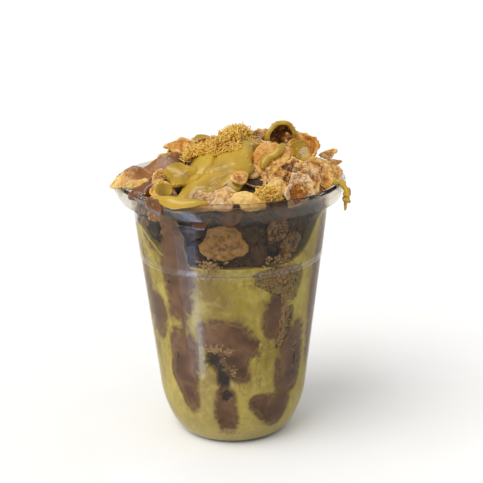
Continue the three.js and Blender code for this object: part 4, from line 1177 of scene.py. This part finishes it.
sauces = {
    "sauceDrape": dict(middle=(-3, -20), thick=2.8, slot="pistachio", outline=[
        (9, -22), (10.5, -12), (10, -3), (3, -8), (-6, -10), (-14, -8), (-16, -15), (-19, -26), (-24, -33),
        (-20, -38), (-12, -37), (-3, -33), (4, -32)],
        creases=[([(-3, -9), (-5, -15), (-7, -21), (-12, -26)], 0.9, 1.2),
                 ([(-19, -19), (-13, -23), (-7, -25), (1, -24)], 0.7, 0.8),
                 ([(6, -26), (0, -28), (-8, -31)], 0.8, 0.8),
                 ([(-24, -31), (-17, -33), (-9, -33)], 0.9, 0.9),
                 ([(-10, -10), (-11, -15)], 0.7, 0.6)],
        swells=[(5.5, -10, 5.0, 1.6), (-9, -17, 4.5, 0.9), (-14, -29, 4.0, 0.9), (2, -19, 4.0, 0.7)]),
    "chocolateTop": dict(middle=(-31, -11), thick=3.4, slot="chocolate", outline=[
        (-20, -8), (-22, -2), (-31, -3), (-39, -8), (-42, -15), (-38, -20), (-31, -17), (-25, -18)],
        creases=[([(-38, -9), (-33, -12), (-27, -11)], 1.0, 1.2)],
        swells=[(-27, -7, 4.0, 1.2), (-37, -14, 4.0, 0.8)]),
}


def awayFrom(line, x, y):
    near = 1e9
    for (x0, y0), (x1, y1) in zip(line, line[1:]):
        along = ((x - x0) * (x1 - x0) + (y - y0) * (y1 - y0)) / ((x1 - x0) ** 2 + (y1 - y0) ** 2)
        along = clamp(along, 0, 1)
        near = min(near, math.hypot(x - lerp(x0, x1, along), y - lerp(y0, y1, along)))
    return near


# how high poured sauce stands over the heap
def sauceRise(spec, seed, x, y):
    rise = spec["thick"] + 0.9 * lump((x, y, 3), 9.0, seed) + 0.4 * lump((x, y, 6), 4.0, seed)
    for middleX, middleY, wide, height in spec["swells"]:
        rise += height * math.exp(-((x - middleX) ** 2 + (y - middleY) ** 2) / wide ** 2)
    for line, wide, depth in spec["creases"]:
        away = awayFrom(line, x + 0.8 * lump((x, y, 0), 3.0, seed), y + 0.8 * lump((x, y, 5), 3.0, seed))
        rise -= depth * math.exp(-(away / wide) ** 2)
    return rise


def saucePlace(spec, seed):
    def place(u, v, rho, height):
        angle = math.atan2(v, u)
        edge = outlineAt(spec["outline"], angle / (2 * math.pi))
        tongue = 1 + 0.10 * lump((3.2 * math.cos(angle), 3.2 * math.sin(angle), 0), 1.0, seed) * rho
        x = lerp(spec["middle"][0], edge[0], rho * tongue)
        y = lerp(spec["middle"][1], edge[1], rho * tongue)
        x += 1.4 * lump((x, y, 0), 7.0, seed) * rho
        y += 1.2 * lump((x, y, 9), 7.0, seed) * rho
        low = heapHeight(x, y) + 0.1
        if height < 0:
            return (x, y, low - 0.6), ()
        bulge = (1 - rho ** 5) ** 0.5
        return (x, y, low + sauceRise(spec, seed, x, y) * bulge), ()
    return place


for number, (name, spec) in enumerate(sauces.items()):
    bm = bendDisc(7, saucePlace(spec, number + 1))
    addPiece(name + "Poured", bm, sauceOf[spec["slot"]], [name])

# the way down the outside of the lip: radius and height
lipSection = [(cup["lipRootR"] - 1.1, cup["lipRootZ"] + 1.85),
              (cup["lipRootR"] + 2.7, cup["lipRootZ"] + 4.45),
              (cup["crestR"] - 0.5, cup["crestZ"] + 0.35), (cup["lipR"], cup["crestZ"] - 0.6),
              (cup["lipR"] + 0.3, cup["lipZ"] - 0.2), (cup["skirtR"] + 1.0, cup["skirtZ"] + 1.6)]
lipSauces = {
    "sauceOverLip": dict(azimuth=-26, halfWidth=15, along=(0.04, 0.72), thick=1.5, slot="pistachio"),
    "chocolateOverLip": dict(azimuth=-37.5, halfWidth=5.2, along=(0.4, 1), thick=1.0, slot="chocolate"),
}


def drapePlace(spec, seed):
    def place(u, v, rho, height):
        v += 0.22 * rho * lump((u, v, 2), 0.45, seed)
        share = clamp(lerp(*spec["along"], (1 - v) / 2), 0, 1)
        wide = spec["halfWidth"] * u * (1 + 0.3 * lump((u, v, 0), 0.5, seed))
        azimuth = math.radians(spec["azimuth"] + wide)
        point = openCurveAt(lipSection, share)
        along = (openCurveAt(lipSection, share + 0.02) - openCurveAt(lipSection, share - 0.02)).normalized()
        bulge = math.sqrt(max(0.0, 1 - rho ** 3))
        outward = (spec["thick"] + 0.7 * lump((u, v, 4), 0.5, seed)) * bulge if height >= 0 else -0.2
        r = point.x - along.y * outward
        return (r * math.sin(azimuth), -r * math.cos(azimuth), point.y + along.x * outward), ()
    return place


for number, (name, spec) in enumerate(lipSauces.items()):
    bm = bendDisc(5, drapePlace(spec, number + 5))
    bmesh.ops.recalc_face_normals(bm, faces=bm.faces)
    addPiece(name + "Poured", bm, sauceOf[spec["slot"]], [name])

# the bead of sauce that lies along one flake, fused to it
spec = topFlakes["flakeDrizzled"]
turn = flakeFrame(spec)
bead = [turn @ flakePoint(spec, u, v, math.hypot(u, v), flakeThick / 2 + 0.5) for u, v in spec["drizzle"]]
addPiece("drizzleBead", bendTube(bead, [0.7, 1.7, 1.8, 1.5, 1.75, 1.7, 0.8], 16, 40), sauceOf["pistachio"],
         ["flakeDrizzled"])

# the drip over the right of the lip, with a scrap of flake caught in its end
drip = [(37.6, -20, 113.4), (41.8, -20.4, 114.3), (45.0, -21, 114.4), (46.8, -21.6, 110.8),
        (47.0, -21.6, 107.0), (46.6, -21.6, 102.8)]
addPiece("rightDrip", bendTube(drip, [0.9, 1.2, 1.1, 1.3, 1.0, 0.3], 18, 60, 0.7), sauceOf["pistachio"],
         ["sauceDripRight"])
scrap = dict(at=(47.1, -22.0, 108.8), size=(3.2, 1.9), face=(40, 70, 75), curl=80, thick=1.3, seed=52,
             tone=0.3, frost=0.1, sauce=[(-0.7, 0.3, 1.6), (0.6, -0.6, 1.2)], free=True, rough=0.8)
addPiece("dripScrap", bakeFlake(5, scrap), toastedFlake,
         ["sauceDripRight"])

# the ragged lower edge of the kataifi, lying on the sauce
draw = random.Random(31)
fringeCount = 620
places = []
while len(places) < fringeCount:
    x = draw.uniform(-19, 4.5)
    y = -8.0 - (4.6 + 2.8 * smoothShare(x, -14, -4)) * draw.random() ** 1.3
    rise = sauceRise(sauces["sauceDrape"], 1, x, y)
    up = (2.6 + 2.0 * smoothShare(x, -10, 0)) * draw.random() * smoothShare(y, -14, -8)
    z = heapHeight(x, y) + rise + 0.2 + up
    direction = Vector((draw.gauss(0, 0.7), draw.gauss(-0.5, 0.6), draw.gauss(0.0, 0.45))).normalized()
    places.append((*layShape(shreds, direction, (x, y, z), 0.7, 1.0), {"tone": draw.uniform(0.35, 0.75)}))
joinCopies("kataifiFringe", shreds, places, bakedKataifi, ["kataifiLeft"])
print("sauces poured")


# the faces of all that lies on top, as one list of points and one of faces
def topSurface():
    points, faces = [], []
    for piece in bpy.data.objects:
        onTop = piece.name.endswith(("Baked", "Poured")) and "Wall" not in piece.name
        if onTop or piece.name == "looseFlakes":
            count = len(points)
            points += [v.co for v in piece.data.vertices]
            faces += [[i + count for i in p.vertices] for p in piece.data.polygons]
    return points, faces


def crumbShape(radius, seed):
    bm = bmesh.new()
    bmesh.ops.create_icosphere(bm, subdivisions=1, radius=radius)
    for vert in bm.verts:
        vert.co *= (1 + 0.5 * lump(vert.co, radius, seed)) * mm
    return shapeOf(bm)


draw = random.Random(47)
crumbs = [crumbShape(draw.uniform(0.35, 0.75), k) for k in range(6)]


def crumbLook(tone, frost):
    return {"tone": tone + draw.uniform(-0.2, 0.25), "frost": frost + draw.uniform(-0.3, 0.3), "sauce": 0.0,
            "choc": 0.0, "orange": draw.uniform(0, 0.4)}


# sugar and broken flake pressed on the wall: azimuth, height, half width, half height, count
wallClusters = [(-12, 48, 7, 2.2, 90), (-3, 46.5, 5, 2.0, 46), (-5, 7.6, 8, 1.8, 70), (0.5, 38, 4, 3, 22),
                (36, 66, 3.2, 11, 190), (34, 52, 2.6, 5, 60), (26, 78, 12, 5, 90), (-12, 85, 8, 3.4, 90),
                (34, 80, 11, 4, 70), (48, 45, 2.5, 8, 16), (30, 86, 9, 3, 60), (150, 84, 30, 4, 60),
                (-120, 84, 30, 4, 60)]
places = []
for azimuth, z, wide, tall, count in wallClusters:
    for _ in range(count):
        around = azimuth + wide * clamp(draw.gauss(0, 0.5), -1.2, 1.2)
        height = z + tall * clamp(draw.gauss(0, 0.5), -1.2, 1.2)
        turn = pointAlong(Vector((draw.gauss(0, 1), draw.gauss(0, 1), 1)), wallPoint(around, height, 0.1),
                          draw.uniform(0, 6.3), draw.uniform(0.6, 1.3))
        places.append((draw.randrange(len(crumbs)), turn, crumbLook(0.8, 0.8)))
joinCopies("wallCrumbs", crumbs, places, dampShadedFlake, ["flakeHeap"], gap=-0.26)

# crumbs and sugar fallen on the flakes
tree = BVHTree.FromPolygons(*topSurface())
fallenCount = 300
places = []
while len(places) < fallenCount:
    x = draw.uniform(-46, 46)
    y = draw.uniform(-42, 40)
    share = 1.0 if x > 9 else (0.25 if x < -34 else 0.06)
    if math.hypot(x, y) > 44 or draw.random() > share:
        continue
    hit, normal = tree.ray_cast(Vector((x, y, 160)) * mm, Vector((0, 0, -1)))[:2]
    if hit is None or normal.z < 0.35 or hit.z < 108 * mm:
        continue
    places.append((*layShape(crumbs, normal, hit / mm + normal * 0.1, 0.5, 1.1), crumbLook(0.75, 0.75)))
joinCopies("fallenCrumbs", crumbs, places, toastedFlake, ["flakeHeap"])
print("crumbs scattered")
